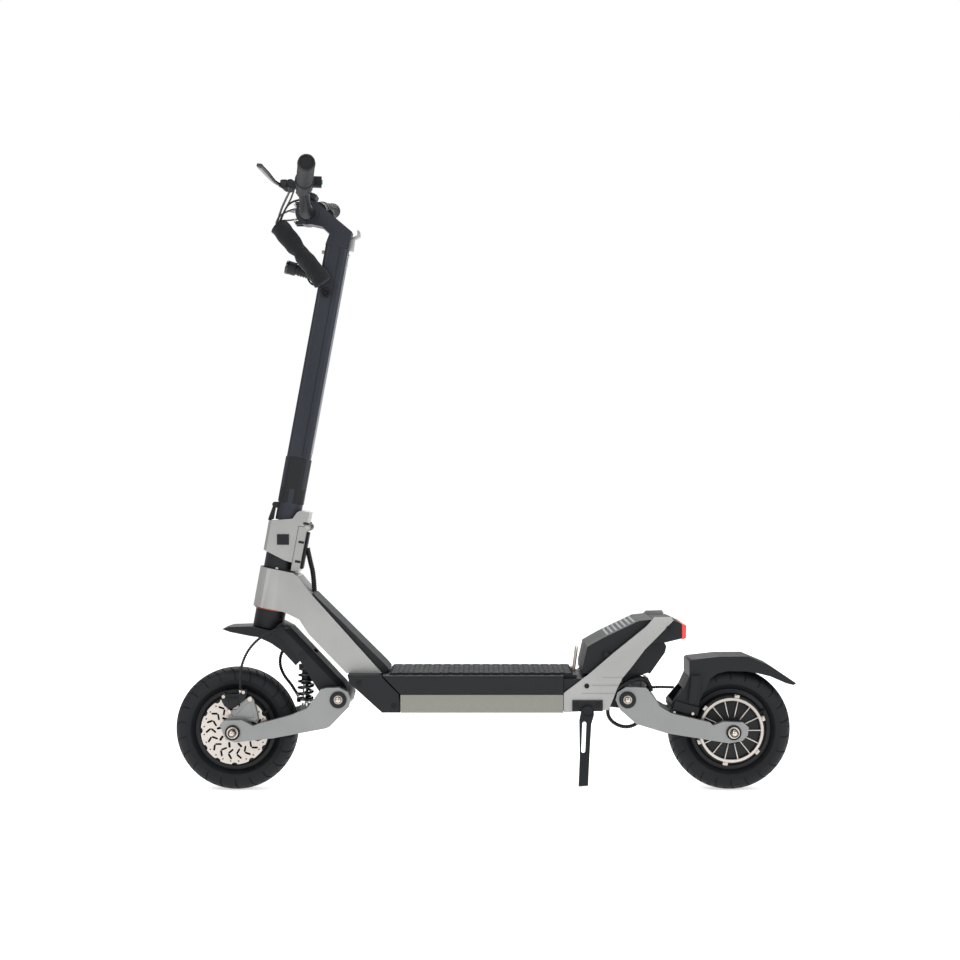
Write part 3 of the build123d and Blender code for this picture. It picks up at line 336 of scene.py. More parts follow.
def lathe(profile, centre, direction, steps=64):
    """Closed outline of (radius, along) points spun about a line."""
    bpy.ops.object.select_all(action="DESELECT")
    bpy.ops.mesh.primitive_plane_add(size=0.01)
    piece = bpy.context.object
    piece.data.clear_geometry()
    points = [(radius, 0, along) for radius, along in profile]
    edges = [(i, (i + 1) % len(points)) for i in range(len(points))]
    piece.data.from_pydata(points, edges, [])
    bpy.ops.object.mode_set(mode="EDIT")
    bpy.ops.mesh.select_all(action="SELECT")
    bpy.ops.mesh.spin(steps=steps, angle=2 * math.pi, center=(0, 0, 0), axis=(0, 0, 1), use_auto_merge=True)
    bpy.ops.mesh.select_all(action="SELECT")
    bpy.ops.mesh.remove_doubles(threshold=0.000005)
    bpy.ops.mesh.dissolve_degenerate(threshold=0.000002)
    bpy.ops.mesh.select_all(action="SELECT")
    bpy.ops.mesh.normals_make_consistent(inside=False)
    bpy.ops.object.mode_set(mode="OBJECT")
    piece.matrix_world = stand(centre, direction)
    return piece


def block(size, matrix, bevel=0.0006, segments=2):
    """Rounded block of a size, placed by a matrix."""
    bpy.ops.object.select_all(action="DESELECT")
    bpy.ops.mesh.primitive_cube_add(size=1)
    piece = bpy.context.object
    piece.scale = size
    bpy.ops.object.transform_apply(location=False, rotation=False, scale=True)
    edge = piece.modifiers.new("edge", "BEVEL")
    edge.width = bevel
    edge.segments = segments
    bpy.ops.object.modifier_apply(modifier="edge")
    piece.matrix_world = matrix
    return piece


def join(pieces):
    """Several finished shapes as one piece."""
    bpy.ops.object.select_all(action="DESELECT")
    for piece in pieces:
        piece.select_set(True)
    bpy.context.view_layer.objects.active = pieces[0]
    bpy.ops.object.transform_apply(location=True, rotation=True, scale=True)
    bpy.ops.object.join()
    return bpy.context.object


def route_points(points, resolution=14):
    """Points read from the smooth line of a route."""
    line = bpy.data.curves.new("route", "CURVE")
    line.dimensions = "3D"
    spline = line.splines.new("NURBS")
    spline.points.add(len(points) - 1)
    for place, point in zip(spline.points, points):
        place.co = (*point, 1)
    spline.order_u = 3
    spline.use_endpoint_u = True
    spline.resolution_u = resolution
    holder = bpy.data.objects.new("route", line)
    bpy.context.scene.collection.objects.link(holder)
    mesh = bpy.data.meshes.new_from_object(holder)
    found = [v.co.copy() for v in mesh.vertices]
    bpy.data.objects.remove(holder)
    return found


def tube(points, radius_at, sides=16, step=0.001):
    """Round tube along a route, its radius a function of the length run and the angle round it."""
    line = route_points(points)
    total = sum((b - a).length for a, b in zip(line, line[1:]))
    count = max(8, int(total / step))
    places, run, index = [], 0.0, 0
    for i in range(count + 1):
        goal = total * i / count
        while index < len(line) - 2 and run + (line[index + 1] - line[index]).length < goal:
            run += (line[index + 1] - line[index]).length
            index += 1
        span = line[index + 1] - line[index]
        places.append(line[index] + span * min(1.0, (goal - run) / max(span.length, 1e-9)))
    vertices, faces = [], []
    side = Vector((0, 1, 0)).cross(places[1] - places[0]).normalized()
    for i, place in enumerate(places):
        ahead = (places[min(i + 1, count)] - places[max(i - 1, 0)]).normalized()
        side = (side - ahead * side.dot(ahead)).normalized()
        other = ahead.cross(side)
        for k in range(sides):
            angle = 2 * math.pi * k / sides
            reach = radius_at(total * i / count, angle, total)
            vertices.append(place + side * math.cos(angle) * reach + other * math.sin(angle) * reach)
    for i in range(count):
        for k in range(sides):
            a, b = i * sides + k, i * sides + (k + 1) % sides
            faces.append((a, b, b + sides, a + sides))
    faces.append(tuple(reversed(range(sides))))
    faces.append(tuple(range(count * sides, (count + 1) * sides)))
    mesh = bpy.data.meshes.new("tube")
    mesh.from_pydata(vertices, [], faces)
    piece = bpy.data.objects.new("tube", mesh)
    bpy.context.scene.collection.objects.link(piece)
    return piece


def pick(piece, wanted, mode="FACE"):
    """Select the faces or edges of a piece that pass a test, in edit mode."""
    bpy.ops.object.select_all(action="DESELECT")
    piece.select_set(True)
    bpy.context.view_layer.objects.active = piece
    bpy.ops.object.mode_set(mode="EDIT")
    bpy.ops.mesh.select_all(action="DESELECT")
    bpy.ops.mesh.select_mode(type=mode)
    bpy.ops.object.mode_set(mode="OBJECT")
    found = piece.data.polygons if mode == "FACE" else piece.data.edges
    for item in found:
        item.select = wanted(item)
    bpy.ops.object.mode_set(mode="EDIT")


def hose(name, points, radius, body, slot, material=None):
    """Smooth round hose or lead on its route's spline."""
    line = bpy.data.curves.new(name, "CURVE")
    line.dimensions = "3D"
    spline = line.splines.new("NURBS")
    spline.points.add(len(points) - 1)
    for place, point in zip(spline.points, points):
        place.co = (*point, 1)
    spline.order_u = 3
    spline.use_endpoint_u = True
    spline.resolution_u = 12
    line.bevel_depth = radius
    line.bevel_resolution = 5
    line.use_fill_caps = True
    piece = bpy.data.objects.new(name, line)
    bpy.context.scene.collection.objects.link(piece)
    line.materials.append(material or FINISHES[slot])
    if body:
        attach(piece, body)
    return piece


def socket_screw(name, centre, direction, radius, height, body, slot="steel", socket=0.5):
    """Cap screw with a rounded head and a hexagonal socket."""
    bpy.ops.object.select_all(action="DESELECT")
    bpy.ops.mesh.primitive_cylinder_add(vertices=24, radius=radius, depth=height, location=(0, 0, height / 2))
    piece = bpy.context.object
    bpy.ops.object.transform_apply(location=True, rotation=False, scale=False)
    pick(piece, lambda face: face.normal.z > 0.9)
    bpy.ops.mesh.inset(thickness=radius * 0.12, depth=height * 0.18)
    bpy.ops.mesh.inset(thickness=radius * (0.88 - socket), depth=0)
    bpy.ops.mesh.inset(thickness=radius * 0.03, depth=-height * 0.5)
    bpy.ops.object.mode_set(mode="OBJECT")
    piece.matrix_world = stand(centre, direction)
    return settle(piece, name, body, slot, smooth=30)


def dome_nut(name, centre, direction, radius, height, body, slot="steel"):
    """Hexagonal nut with a domed cap on a washer."""
    washer = lathe([(0, 0), (radius * 1.3, 0), (radius * 1.3, height * 0.12), (0, height * 0.12)], centre, direction, 32)
    bpy.ops.object.select_all(action="DESELECT")
    bpy.ops.mesh.primitive_cylinder_add(vertices=6, radius=radius, depth=height * 0.5)
    flats = bpy.context.object
    edge = flats.modifiers.new("edge", "BEVEL")
    edge.width = radius * 0.08
    edge.segments = 2
    bpy.ops.object.modifier_apply(modifier="edge")
    flats.matrix_world = stand(centre, direction) @ Matrix.Translation((0, 0, height * 0.36))
    crown = radius * 0.82
    dome = [(0, height * 0.55), (crown, height * 0.55)]
    dome += [(crown * math.cos(a), height * (0.62 + 0.38 * math.sin(a))) for a in (0.1, 0.5, 0.9, 1.25)]
    dome += [(0, height)]
    cap = lathe(dome, centre, direction, 32)
    return settle(join([washer, flats, cap]), name, body, slot, smooth=35)


# ------------------------------------------------------------------ wheels

def tread_tyre(name, centre, body, node):
    """Road tyre: slanting sipes across the shoulders, a centre groove, and a ribbed sidewall."""
    half = [(0.0790, 0.0240), (0.0840, 0.0240), (0.0862, 0.0262), (0.0880, 0.0290), (0.0925, 0.0322),
            (0.0935, 0.0338), (0.0955, 0.0345), (0.0970, 0.0350), (0.1020, 0.0365), (0.1040, 0.0374),
            (0.1070, 0.0375), (0.1110, 0.0368), (0.1150, 0.0355), (0.1184, 0.0330), (0.1210, 0.0300),
            (0.1232, 0.0262), (0.1249, 0.0220), (0.1262, 0.0170), (0.1271, 0.0120), (0.1274, 0.0070), (0.1275, 0.0032),
            (0.1262, 0.0026), (0.1262, 0.0)]
    profile = half + [(radius, -along) for radius, along in reversed(half[:-1])]
    steps = 264
    piece = lathe(profile, centre, ACROSS, steps)
    for point in piece.data.vertices:
        shoulder = max(0.0, abs(point.co.z) - 0.006)
        lean = 3.2 * shoulder * (1 + shoulder * 9)
        turned = Matrix.Rotation(lean, 3, "Z") @ point.co
        point.co = turned

    def groove(face):
        middle, spread = face.center, face.center.to_2d()
        along = abs(middle.z)
        if spread.length < 0.1045 or not 0.0100 < along < 0.0380:
            return False
        lean = 3.2 * (along - 0.006) * (1 + (along - 0.006) * 9)
        place = (math.atan2(middle.y, middle.x) - lean) / (2 * math.pi) * steps
        turn = int(math.floor(place)) % 12
        return turn == 0 or (turn == 6 and along < 0.0285)

    pick(piece, groove)
    bpy.ops.mesh.inset(thickness=0.0003, depth=-0.0021)
    bpy.ops.object.mode_set(mode="OBJECT")
    piece = settle(piece, name, body, "tyre", smooth=45)
    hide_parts(node)
    return piece


tread_tyre("front_tread_tyre", FRONT_AXLE, "front_wheel", "front_tyre")
tread_tyre("rear_tread_tyre", REAR_AXLE, "rear_wheel", "rear_tyre")


def rim_edge(name, centre, side, body):
    """Rolled bright lip of the rim beside the tyre's bead."""
    lip = [(0.0795, 0.0243), (0.0836, 0.0243), (0.0842, 0.0250), (0.0845, 0.0266), (0.0838, 0.0277),
           (0.0826, 0.0275), (0.0805, 0.0272)]
    piece = lathe(lip, centre, ACROSS * side, 96)
    return settle(piece, name, body, "hub_black")


def hub_cover(name, centre, side, body):
    """Bright ring screwed to the hub's face with radial ribs inside it."""
    ring = [(0.0605, 0.0392), (0.0672, 0.0388), (0.0676, 0.0396), (0.0676, 0.0470), (0.0668, 0.0482),
            (0.0618, 0.0484), (0.0608, 0.0474)]
    parts = [lathe(ring, centre, ACROSS * side, 96)]
    for turn in range(6):
        angle = math.radians(60 * turn + 20)
        reach = Vector((math.cos(angle), 0, math.sin(angle)))
        place = centre + reach * 0.0695 + ACROSS * side * 0.0425
        frame_of = Matrix.Translation(place) @ Matrix.Rotation(-angle, 4, "Y")
        parts.append(block((0.010, 0.006, 0.011), frame_of, 0.0016, 3))
    for turn in range(14):
        angle = 2 * math.pi * turn / 14
        reach = Vector((math.cos(angle), 0, math.sin(angle)))
        place = centre + reach * 0.0440 + ACROSS * side * 0.0452
        frame_of = Matrix.Translation(place) @ Matrix.Rotation(-angle, 4, "Y")
        parts.append(block((0.0350, 0.0052, 0.0022), frame_of, 0.0006, 2))
    piece = settle(join(parts), name, body, "disc_steel")
    for turn in range(6):
        angle = math.radians(60 * turn + 20)
        place = centre + Vector((math.cos(angle), 0, math.sin(angle))) * 0.0708 + ACROSS * side * 0.0450
        socket_screw(f"{name}_screw_{turn}", place, ACROSS * side, 0.0030, 0.0022, body)
    return piece


hub_cover("rear_hub_cover_left", REAR_AXLE, -1, "rear_wheel")
hub_cover("front_hub_cover_right", FRONT_AXLE, 1, "front_wheel")
for side in (-1, 1):
    mark = "left" if side < 0 else "right"
    rim_edge(f"front_rim_lip_{mark}", FRONT_AXLE, side, "front_wheel")
    rim_edge(f"rear_rim_lip_{mark}", REAR_AXLE, side, "rear_wheel")


def plate(outline, low, high, matrix=None, bevel=0.0004):
    """Flat plate: an outline of (x, z) or local (x, y) points, given thickness across the scooter."""
    bpy.ops.object.select_all(action="DESELECT")
    bpy.ops.mesh.primitive_plane_add(size=0.01)
    piece = bpy.context.object
    piece.data.clear_geometry()
    piece.data.from_pydata([(x, low, z) for x, z in outline], [], [tuple(range(len(outline)))])
    bpy.ops.object.mode_set(mode="EDIT")
    bpy.ops.mesh.select_all(action="SELECT")
    bpy.ops.mesh.extrude_region_move(TRANSFORM_OT_translate={"value": (0, high - low, 0)})
    bpy.ops.mesh.select_all(action="SELECT")
    bpy.ops.mesh.normals_make_consistent(inside=False)
    bpy.ops.object.mode_set(mode="OBJECT")
    if matrix:
        piece.matrix_world = matrix
    edge = piece.modifiers.new("edge", "BEVEL")
    edge.width = bevel
    edge.segments = 2
    edge.limit_method = "ANGLE"
    bpy.ops.object.modifier_apply(modifier="edge")
    return piece


def ring(name, inner, outer, low, high, centre, direction, body, slot, material=None):
    """Flat ring with rounded corners along a direction."""
    soft = min(0.0006, (high - low) * 0.3)
    outline = [(inner, low), (outer - soft, low), (outer, low + soft), (outer, high - soft),
               (outer - soft, high), (inner, high)]
    return settle(lathe(outline, centre, direction, 48), name, body, slot, material)


# ------------------------------------------------------------------ nuts, pivots and screws

for name in ("front_axle", "rear_axle", "front_pivot_axle", "rear_pivot_axle", "frame_screws"):
    frame["nodes"][name].data.materials.clear()
    frame["nodes"][name].data.materials.append(BLACK_OXIDE)

for side in (-1, 1):
    mark = "left" if side < 0 else "right"
    out = ACROSS * side
    for label, centre, body in (("front", FRONT_AXLE, "front_arm"), ("rear", REAR_AXLE, "rear_arm")):
        dome_nut(f"{label}_axle_nut_{mark}", centre + out * 0.0872, out, 0.0090, 0.0165, body)
        ring(f"{label}_axle_washer_{mark}", 0.0100, 0.0155, 0, 0.0016, centre + out * 0.0868, out, body, "steel",
             BLACK_OXIDE)
    for label, centre, body in (("front", FRONT_PIVOT, "fork"), ("rear", REAR_PIVOT, "deck")):
        ring(f"{label}_pivot_collar_{mark}", 0.0088, 0.0172, -0.0008, 0.0034, centre + out * 0.0850, out, body,
             "black_paint")
        dome_nut(f"{label}_pivot_nut_{mark}", centre + out * 0.0864, out, 0.0068, 0.0062, body)

socket_screw("column_screw_left", on_axis(-0.0007, 0.0440, -0.0305), -ACROSS, 0.0032, 0.0032, "fork")
socket_screw("column_screw_right", on_axis(-0.0007, 0.0440, 0.0305), ACROSS, 0.0032, 0.0032, "fork")
for side in (-1, 1):
    mark = "left" if side < 0 else "right"
    plug = [(0, 0), (0.0085, 0), (0.0085, 0.0008), (0.0078, 0.0013), (0.0068, 0.0013), (0.0066, 0.0006),
            (0.0048, 0.0006), (0.0046, 0.0012), (0, 0.0014)]
    settle(lathe(plug, Vector((-0.3765, side * 0.0519, 0.2825)), ACROSS * side, 48), f"fork_plug_{mark}", "fork",
           "black_plastic")
ring("head_seal", 0.0300, 0.0352, -0.0446, -0.0420, HEAD, UP_AXIS, "deck", "steel", COPPER)
ring("head_top_seal", 0.0300, 0.0372, 0.0418, 0.0426, HEAD, UP_AXIS, "deck", "black_plastic")


# ------------------------------------------------------------------ front suspension and brake

def spring():
    """Round-wire coil spring with closed ends, on the line of the damper."""
    line = (SPRING_FOOT - SPRING_TOP).normalized()
    start, finish = SPRING_TOP + line * 0.0155, SPRING_FOOT - line * 0.0195
    wire, coil, turns = 0.0032, 0.0146, 5
    bpy.ops.object.select_all(action="DESELECT")
    bpy.ops.mesh.primitive_circle_add(vertices=12, radius=wire, location=(coil, 0, 0), rotation=(math.pi / 2, 0, 0))
    wound = bpy.context.object
    bpy.ops.object.transform_apply(location=True, rotation=True, scale=True)
    winding = wound.modifiers.new("winding", "SCREW")
    winding.angle = 2 * math.pi
    winding.screw_offset = (finish - start).length / turns
    winding.iterations = turns
    winding.steps = 32
    winding.render_steps = 32
    bpy.ops.object.modifier_apply(modifier="winding")
    bpy.ops.object.mode_set(mode="EDIT")
    bpy.ops.mesh.select_all(action="SELECT")
    bpy.ops.mesh.remove_doubles(threshold=0.00001)
    bpy.ops.mesh.fill_holes(sides=0)
    bpy.ops.mesh.select_all(action="SELECT")
    bpy.ops.mesh.normals_make_consistent(inside=False)
    bpy.ops.object.mode_set(mode="OBJECT")
    wound.matrix_world = stand(start, line)
    parts = [wound]
    for place in (start, finish):
        bpy.ops.mesh.primitive_torus_add(major_radius=coil, minor_radius=wire, major_segments=48, minor_segments=12)
        closed = bpy.context.object
        closed.matrix_world = stand(place, line)
        parts.append(closed)
    piece = join(parts)
    settle(piece, "front_coil_spring", "front_shock", "black_paint", GLOSS_BLACK)
    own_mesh(piece)
    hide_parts("front_spring")
    for label, place, body, high in (("upper", start - line * 0.0038, "front_shock", 0.0014),
                                     ("lower", finish + line * 0.0026, "front_shock_slider", 0.0030)):
        ring(f"front_spring_{label}_seat", 0.0058, 0.0168, 0, high, place, line, body, "black_paint", GLOSS_BLACK)


spring()


def brake_caliper():
    """Two-bolt caliper with its hose fitting, on a forged bracket with a triangular pocket."""
    left = -ACROSS
    bracket = [(-0.5344, 0.1694), (-0.5148, 0.1715), (-0.4951, 0.1922), (-0.4827, 0.2004), (-0.4765, 0.1922),
               (-0.4683, 0.1560), (-0.4683, 0.1467), (-0.5262, 0.1509)]
    web = plate(bracket, -0.0638, -0.0585, bevel=0.0009)
    pick(web, lambda face: face.normal.y < -0.9 and face.area > 0.0005)
    bpy.ops.mesh.inset(thickness=0.0065, depth=0)
    bpy.ops.mesh.inset(thickness=0.0007, depth=-0.0030)
    bpy.ops.object.mode_set(mode="OBJECT")
    settle(web, "front_caliper_bracket", "front_arm", "arm_paint")
    body = [(-0.5447, 0.2046), (-0.5385, 0.2077), (-0.5313, 0.2035), (-0.5075, 0.2046), (-0.4951, 0.2149),
            (-0.4900, 0.2108), (-0.4951, 0.1922), (-0.5148, 0.1767), (-0.5282, 0.1715), (-0.5385, 0.1798),
            (-0.5447, 0.1922)]
    shell = plate(body, -0.0620, -0.0440, bevel=0.0016)
    pad_box = block((0.026, 0.0040, 0.013), Matrix.Translation((-0.5215, -0.0635, 0.1905)), 0.0014, 3)
    fin = [block((0.0022, 0.0030, 0.0125), Matrix.Translation((-0.5300 + 0.0056 * i, -0.0650, 0.1905)), 0.0006, 2)
           for i in range(4)]
    caliper = settle(join([shell, pad_box] + fin), "front_caliper", "front_arm", "black_paint")
    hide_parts("front_brake_caliper")
    for number, (x, z) in enumerate(((-0.5282, 0.1674), (-0.4848, 0.1940))):
        socket_screw(f"front_caliper_bolt_{number}", Vector((x, -0.0632, z)), left, 0.0052, 0.0042, "front_arm")
    for number, (x, z) in enumerate(((-0.5395, 0.1990), (-0.4985, 0.2080))):
        socket_screw(f"front_caliper_pin_{number}", Vector((x, -0.0618, z)), left, 0.0036, 0.0028, "front_arm")
    ring("front_hose_fitting", 0.0024, 0.0046, -0.0060, 0.0030, Vector((-0.5050, -0.0560, 0.2100)),
         Vector((0.0, -0.35, 1)).normalized(), "front_arm", "steel")


brake_caliper()


def jacket(name, points, radius, rise, pitch, a, b, spiral=0):
    """Lead in a ribbed or spiral-wound jacket between two bodies: left fixed in place when a second body is given,
    else carried by the first.
    """
    def reach(run, angle, total):
        return radius + rise * math.sin(2 * math.pi * run / pitch + spiral * angle)

    piece = tube(points, reach, 20, pitch / 7)
    piece.name = piece.data.name = name
    piece.data.materials.append(FINISHES["black_plastic"])
    bpy.ops.object.select_all(action="DESELECT")
    piece.select_set(True)
    bpy.context.view_layer.objects.active = piece
    bpy.ops.object.shade_smooth_by_angle(angle=math.radians(50))
    if b:
        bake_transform(piece)
    else:
        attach(piece, a)
    return piece


brake_line = jacket("front_brake_hose", BRAKE_HOSE, 0.0026, 0.0005, 0.0046, "fork", "front_arm",
                    spiral=1)
motor_line = jacket("front_motor_lead", MOTOR_LEAD, 0.0032, 0.0005, 0.0048, "fork", "front_arm",
                    spiral=1)
neck_line = jacket("neck_lead", NECK_LEAD[:3] + [(-0.3570, 0, 0.4120)], 0.0052, 0.0007, 0.0044, "fork", "deck")
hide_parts("front_cables")
rear_line = jacket("rear_motor_lead", REAR_LEAD, 0.0046, 0.0007, 0.0044, "deck", "rear_arm")
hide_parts("rear_cable")
jacket("rear_brake_hose", [(0.262, -0.058, 0.200), (0.252, -0.058, 0.172), (0.260, -0.058, 0.148),
                           (0.288, -0.058, 0.134), (0.316, -0.058, 0.141), (0.330, -0.058, 0.158)],
       0.0038, 0.0004, 0.0044, "deck", "rear_arm")
jacket("fender_lead", [(0.335, -0.053, 0.2165), (0.352, -0.053, 0.2180), (0.372, -0.053, 0.2180),
                       (0.392, -0.053, 0.2175)], 0.0028, 0.0005, 0.0040, "rear_arm", None)
ring("brake_hose_clip", 0.0030, 0.0052, -0.0040, 0.0040, Vector((-0.4100, -0.0575, 0.3418)),
     Vector((-0.95, -0.3, -0.05)).normalized(), "fork", "black_plastic")

# ------------------------------------------------------------------ handlebar, levers and leads

def grip(name, side):
    """Moulded grip: finger rings, a flange by the controls and a clamped end cap."""
    end = Vector((GRIP_END.x, side * GRIP_END.y, GRIP_END.z))
    run = Vector((GRIP_RUN.x, side * GRIP_RUN.y, GRIP_RUN.z))
    outline = [(0.0112, -0.1180), (0.0190, -0.1180), (0.0196, -0.1170), (0.0196, -0.1145), (0.0182, -0.1130),
               (0.0166, -0.1115)]
    for count in range(15):
        at = -0.1080 + 0.0064 * count
        outline += [(0.0163, at), (0.0169, at + 0.0012), (0.0170, at + 0.0036), (0.0164, at + 0.0048)]
    outline += [(0.0164, -0.0105), (0.0176, -0.0095), (0.0176, -0.0035), (0.0168, -0.0025), (0.0168, 0.0040),
                (0.0156, 0.0058), (0.0136, 0.0064), (0.0128, 0.0058), (0.0124, 0.0044), (0.0, 0.0044), (0.0, 0.0022),
                (0.0112, 0.0022)]
    return settle(lathe(outline, end, run, 56), name, "stem", "grip_rubber", smooth=38)


for side in (-1, 1):
    held = grip("grip_left" if side < 0 else "grip_right", side)
    if side < 0:
        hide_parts("grips")


def brake_lever(side):
    """Two-finger blade: deep and rounded at the tip, narrow at the pivot."""
    mark = "left" if side < 0 else "right"
    route = [(-0.4105, 0.1745, 1.2390), (-0.4170, 0.1950, 1.2400), (-0.4225, 0.2300, 1.2440),
             (-0.4300, 0.2700, 1.2515), (-0.4385, 0.3080, 1.2580)]

    def reach(run, angle, total):
        share = run / total
        depth = 0.0042 + 0.0026 * min(1, share * 1.6)
        tip = math.sqrt(max(0.02, 1 - max(0.0, (share - 0.93) / 0.07) ** 2))
        foot = math.sqrt(max(0.02, 1 - max(0.0, (0.04 - share) / 0.04) ** 2))
        return depth * tip * foot * (0.72 + 0.28 * abs(math.sin(angle)) ** 1.5)

    piece = tube([(x, side * y, z) for x, y, z in route], reach, 24, 0.0025)
    bpy.ops.object.select_all(action="DESELECT")
    piece.select_set(True)
    bpy.context.view_layer.objects.active = piece
    if side < 0:
        bpy.ops.object.mode_set(mode="EDIT")
        bpy.ops.mesh.select_all(action="SELECT")
        bpy.ops.mesh.normals_make_consistent(inside=False)
        bpy.ops.object.mode_set(mode="OBJECT")
    settle(piece, f"brake_blade_{mark}", f"brake_lever_{mark}", "black_paint", GLOSS_BLACK, 60)
    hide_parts(f"brake_lever_{mark}")
    body = lathe([(0, 0), (0.0070, 0), (0.0084, 0.0014), (0.0084, 0.0360), (0.0076, 0.0372), (0.0060, 0.0376),
                  (0.0060, 0.0400), (0, 0.0400)], Vector((-0.3985, side * 0.1480, 1.2370)),
                 Vector((-0.12, side * 1.0, 0.06)).normalized(), 40)
    lid = block((0.0170, 0.0300, 0.0040), Matrix.Translation((-0.3990, side * 0.1650, 1.2462)), 0.0014, 3)
    lug = block((0.0200, 0.0100, 0.0070), Matrix.Translation((-0.4040, side * 0.1735, 1.2385)), 0.0022, 3)
    settle(join([body, lid, lug]), f"brake_cylinder_{mark}", "stem", "black_paint")
    for number, along in enumerate((0.1550, 0.1750)):
        socket_screw(f"brake_lid_screw_{mark}_{number}", Vector((-0.3990, side * along, 1.2480)),
                     Vector((0, 0, 1)), 0.0017, 0.0010, "stem")
    socket_screw(f"brake_pivot_screw_{mark}", Vector((-0.4085, side * 0.1745, 1.2418)), Vector((0, 0, 1)), 0.0034,
                 0.0014, "stem")


brake_lever(-1)
brake_lever(1)


def cable_wrap():
    """Fabric sleeve over the bundle: it hangs in shallow folds and gathers where it turns."""
    def reach(run, angle, total):
        share = run / total
        folds = 0.045 * math.sin(2 * angle + 9 * share) + 0.030 * math.sin(3 * angle - 31 * share + 1.1)
        gather = -0.14 * math.exp(-((share - 0.47) / 0.07) ** 2) - 0.08 * math.exp(-((share - 0.74) / 0.05) ** 2)
        ridge = 0.030 * math.sin(46 * share + 2.0 * math.cos(angle)) * math.exp(-((share - 0.55) / 0.30) ** 2)
        hem = 0.035 * math.exp(-((share - 0.02) / 0.014) ** 2) + 0.035 * math.exp(-((share - 0.98) / 0.014) ** 2)
        ends = min(1.0, 0.80 + 16 * share, 0.80 + 16 * (1 - share))
        return 0.0190 * ends * (1 + folds + gather + ridge + hem)

    piece = tube(WRAP, reach, 72, 0.0012)
    settle(piece, "cable_wrap", "stem", "sleeve_fabric", smooth=60)
    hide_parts("bar_cables")


cable_wrap()
hose("left_brake_hose", LEFT_HOSE, 0.0024, "stem", "black_plastic", GLOSS_BLACK)
hose("right_brake_hose", RIGHT_HOSE, 0.0024, "stem", "black_plastic", GLOSS_BLACK)
hose("pod_lead", [(-0.380, -0.196, 1.228), (-0.388, -0.160, 1.219), (-0.400, -0.110, 1.212), (-0.417, -0.066, 1.196),
                  (-0.428, -0.036, 1.181)], 0.0018, "stem", "black_plastic")
hose("display_lead", [(-0.386, 0.004, 1.236), (-0.404, -0.002, 1.233), (-0.420, -0.012, 1.212),
                      (-0.427, -0.026, 1.182)], 0.0021, "stem", "black_plastic")
hose("throttle_lead", [(-0.380, 0.196, 1.229), (-0.398, 0.130, 1.214), (-0.415, 0.060, 1.200),
                       (-0.424, 0.006, 1.193), (-0.431, -0.026, 1.180)], 0.0018, "stem", "black_plastic")
hose("headlight_lead", [(-0.372, 0.004, 1.072), (-0.366, -0.012, 1.058), (-0.350, -0.024, 1.052),
                        (-0.338, -0.026, 1.060)], 0.0020, "stem", "black_plastic")

eyelet = [(0.0062, 0), (0.0100, 0), (0.0104, 0.0006), (0.0100, 0.0030), (0.0082, 0.0046), (0.0066, 0.0042),
          (0.0060, 0.0026)]
settle(lathe(eyelet, Vector((-0.3320, -0.0215, 1.0380)), -ACROSS, 40), "cable_port", "stem", "black_plastic")
settle(lathe([(0, -0.001), (0.0064, -0.001), (0.0064, 0.0012), (0, 0.0016)], Vector((-0.3320, -0.0215, 1.0380)),
             -ACROSS, 32), "cable_port_bung", "stem", "grip_rubber")


def headlight_front():
    """Clear lens in its bezel and cooling rings along the body."""
    ahead = Vector((-0.9624, 0, 0.2707)).normalized()
    face = Vector((-0.4150, 0, 1.0941))
    dome = [(0.0, -0.0030), (0.0116, -0.0030), (0.0120, -0.0004), (0.0110, 0.0012), (0.0080, 0.0026),
            (0.0042, 0.0034), (0.0, 0.0037)]
    settle(lathe(dome, face, ahead, 48), "headlight_lens", "stem", "black_plastic", LENS)
    bezel = [(0.0120, -0.0040), (0.0146, -0.0040), (0.0149, -0.0026), (0.0149, 0.0006), (0.0140, 0.0018),
             (0.0126, 0.0016), (0.0121, 0.0002)]
    settle(lathe(bezel, face, ahead, 48), "headlight_bezel", "stem", "black_paint", GLOSS_BLACK)
    for count in range(4):
        ring(f"headlight_ring_{count}", 0.0105, 0.0124, -0.0290 - 0.0056 * count, -0.0262 - 0.0056 * count, face,
             ahead, "stem", "black_paint")


headlight_front()

turned = Matrix.Translation((-0.374, 0, 1.239)) @ Matrix.Rotation(math.atan2(0.35, 0.94), 4, "Y")
settle(block((0.036, 0.055, 0.0012), turned @ Matrix.Translation((0, 0, 0.0114)), 0.0005, 2), "display_glass", "stem",
       "black_plastic", SCREEN, 30)
settle(block((0.0016, 0.010, 0.0004), turned @ Matrix.Translation((0.014, 0, 0.0122)), 0.0001, 1), "display_lamp",
       "stem", "green_button")

hook = [(-0.2852, 1.1278), (-0.2752, 1.1258), (-0.2722, 1.1498), (-0.2606, 1.1563), (-0.2606, 1.1672),
        (-0.2671, 1.1719), (-0.2669, 1.1602), (-0.2768, 1.1553), (-0.2852, 1.1503)]
settle(plate(hook, -0.0074, 0.0074, bevel=0.0005), "bag_hook_cover", "stem", "silver_paint")

for number, (x, z, facing) in enumerate(((-0.2885, 1.1170, BACK_AXIS), (-0.2927, 1.0960, BACK_AXIS),
                                         (-0.3368, 1.1246, -BACK_AXIS))):
    socket_screw(f"stem_screw_{number}", Vector((x, 0, z)), facing, 0.0042, 0.0040, "stem")
for side in (-1, 1):
    for rise in (-0.0175, 0.0175):
        socket_screw(f"bar_clamp_screw_{'left' if side < 0 else 'right'}_{'low' if rise < 0 else 'high'}",
                     Vector((-0.3945, side * 0.0165, 1.2050 + rise)), Vector((-1, 0, 0)), 0.0036, 0.0036, "stem")

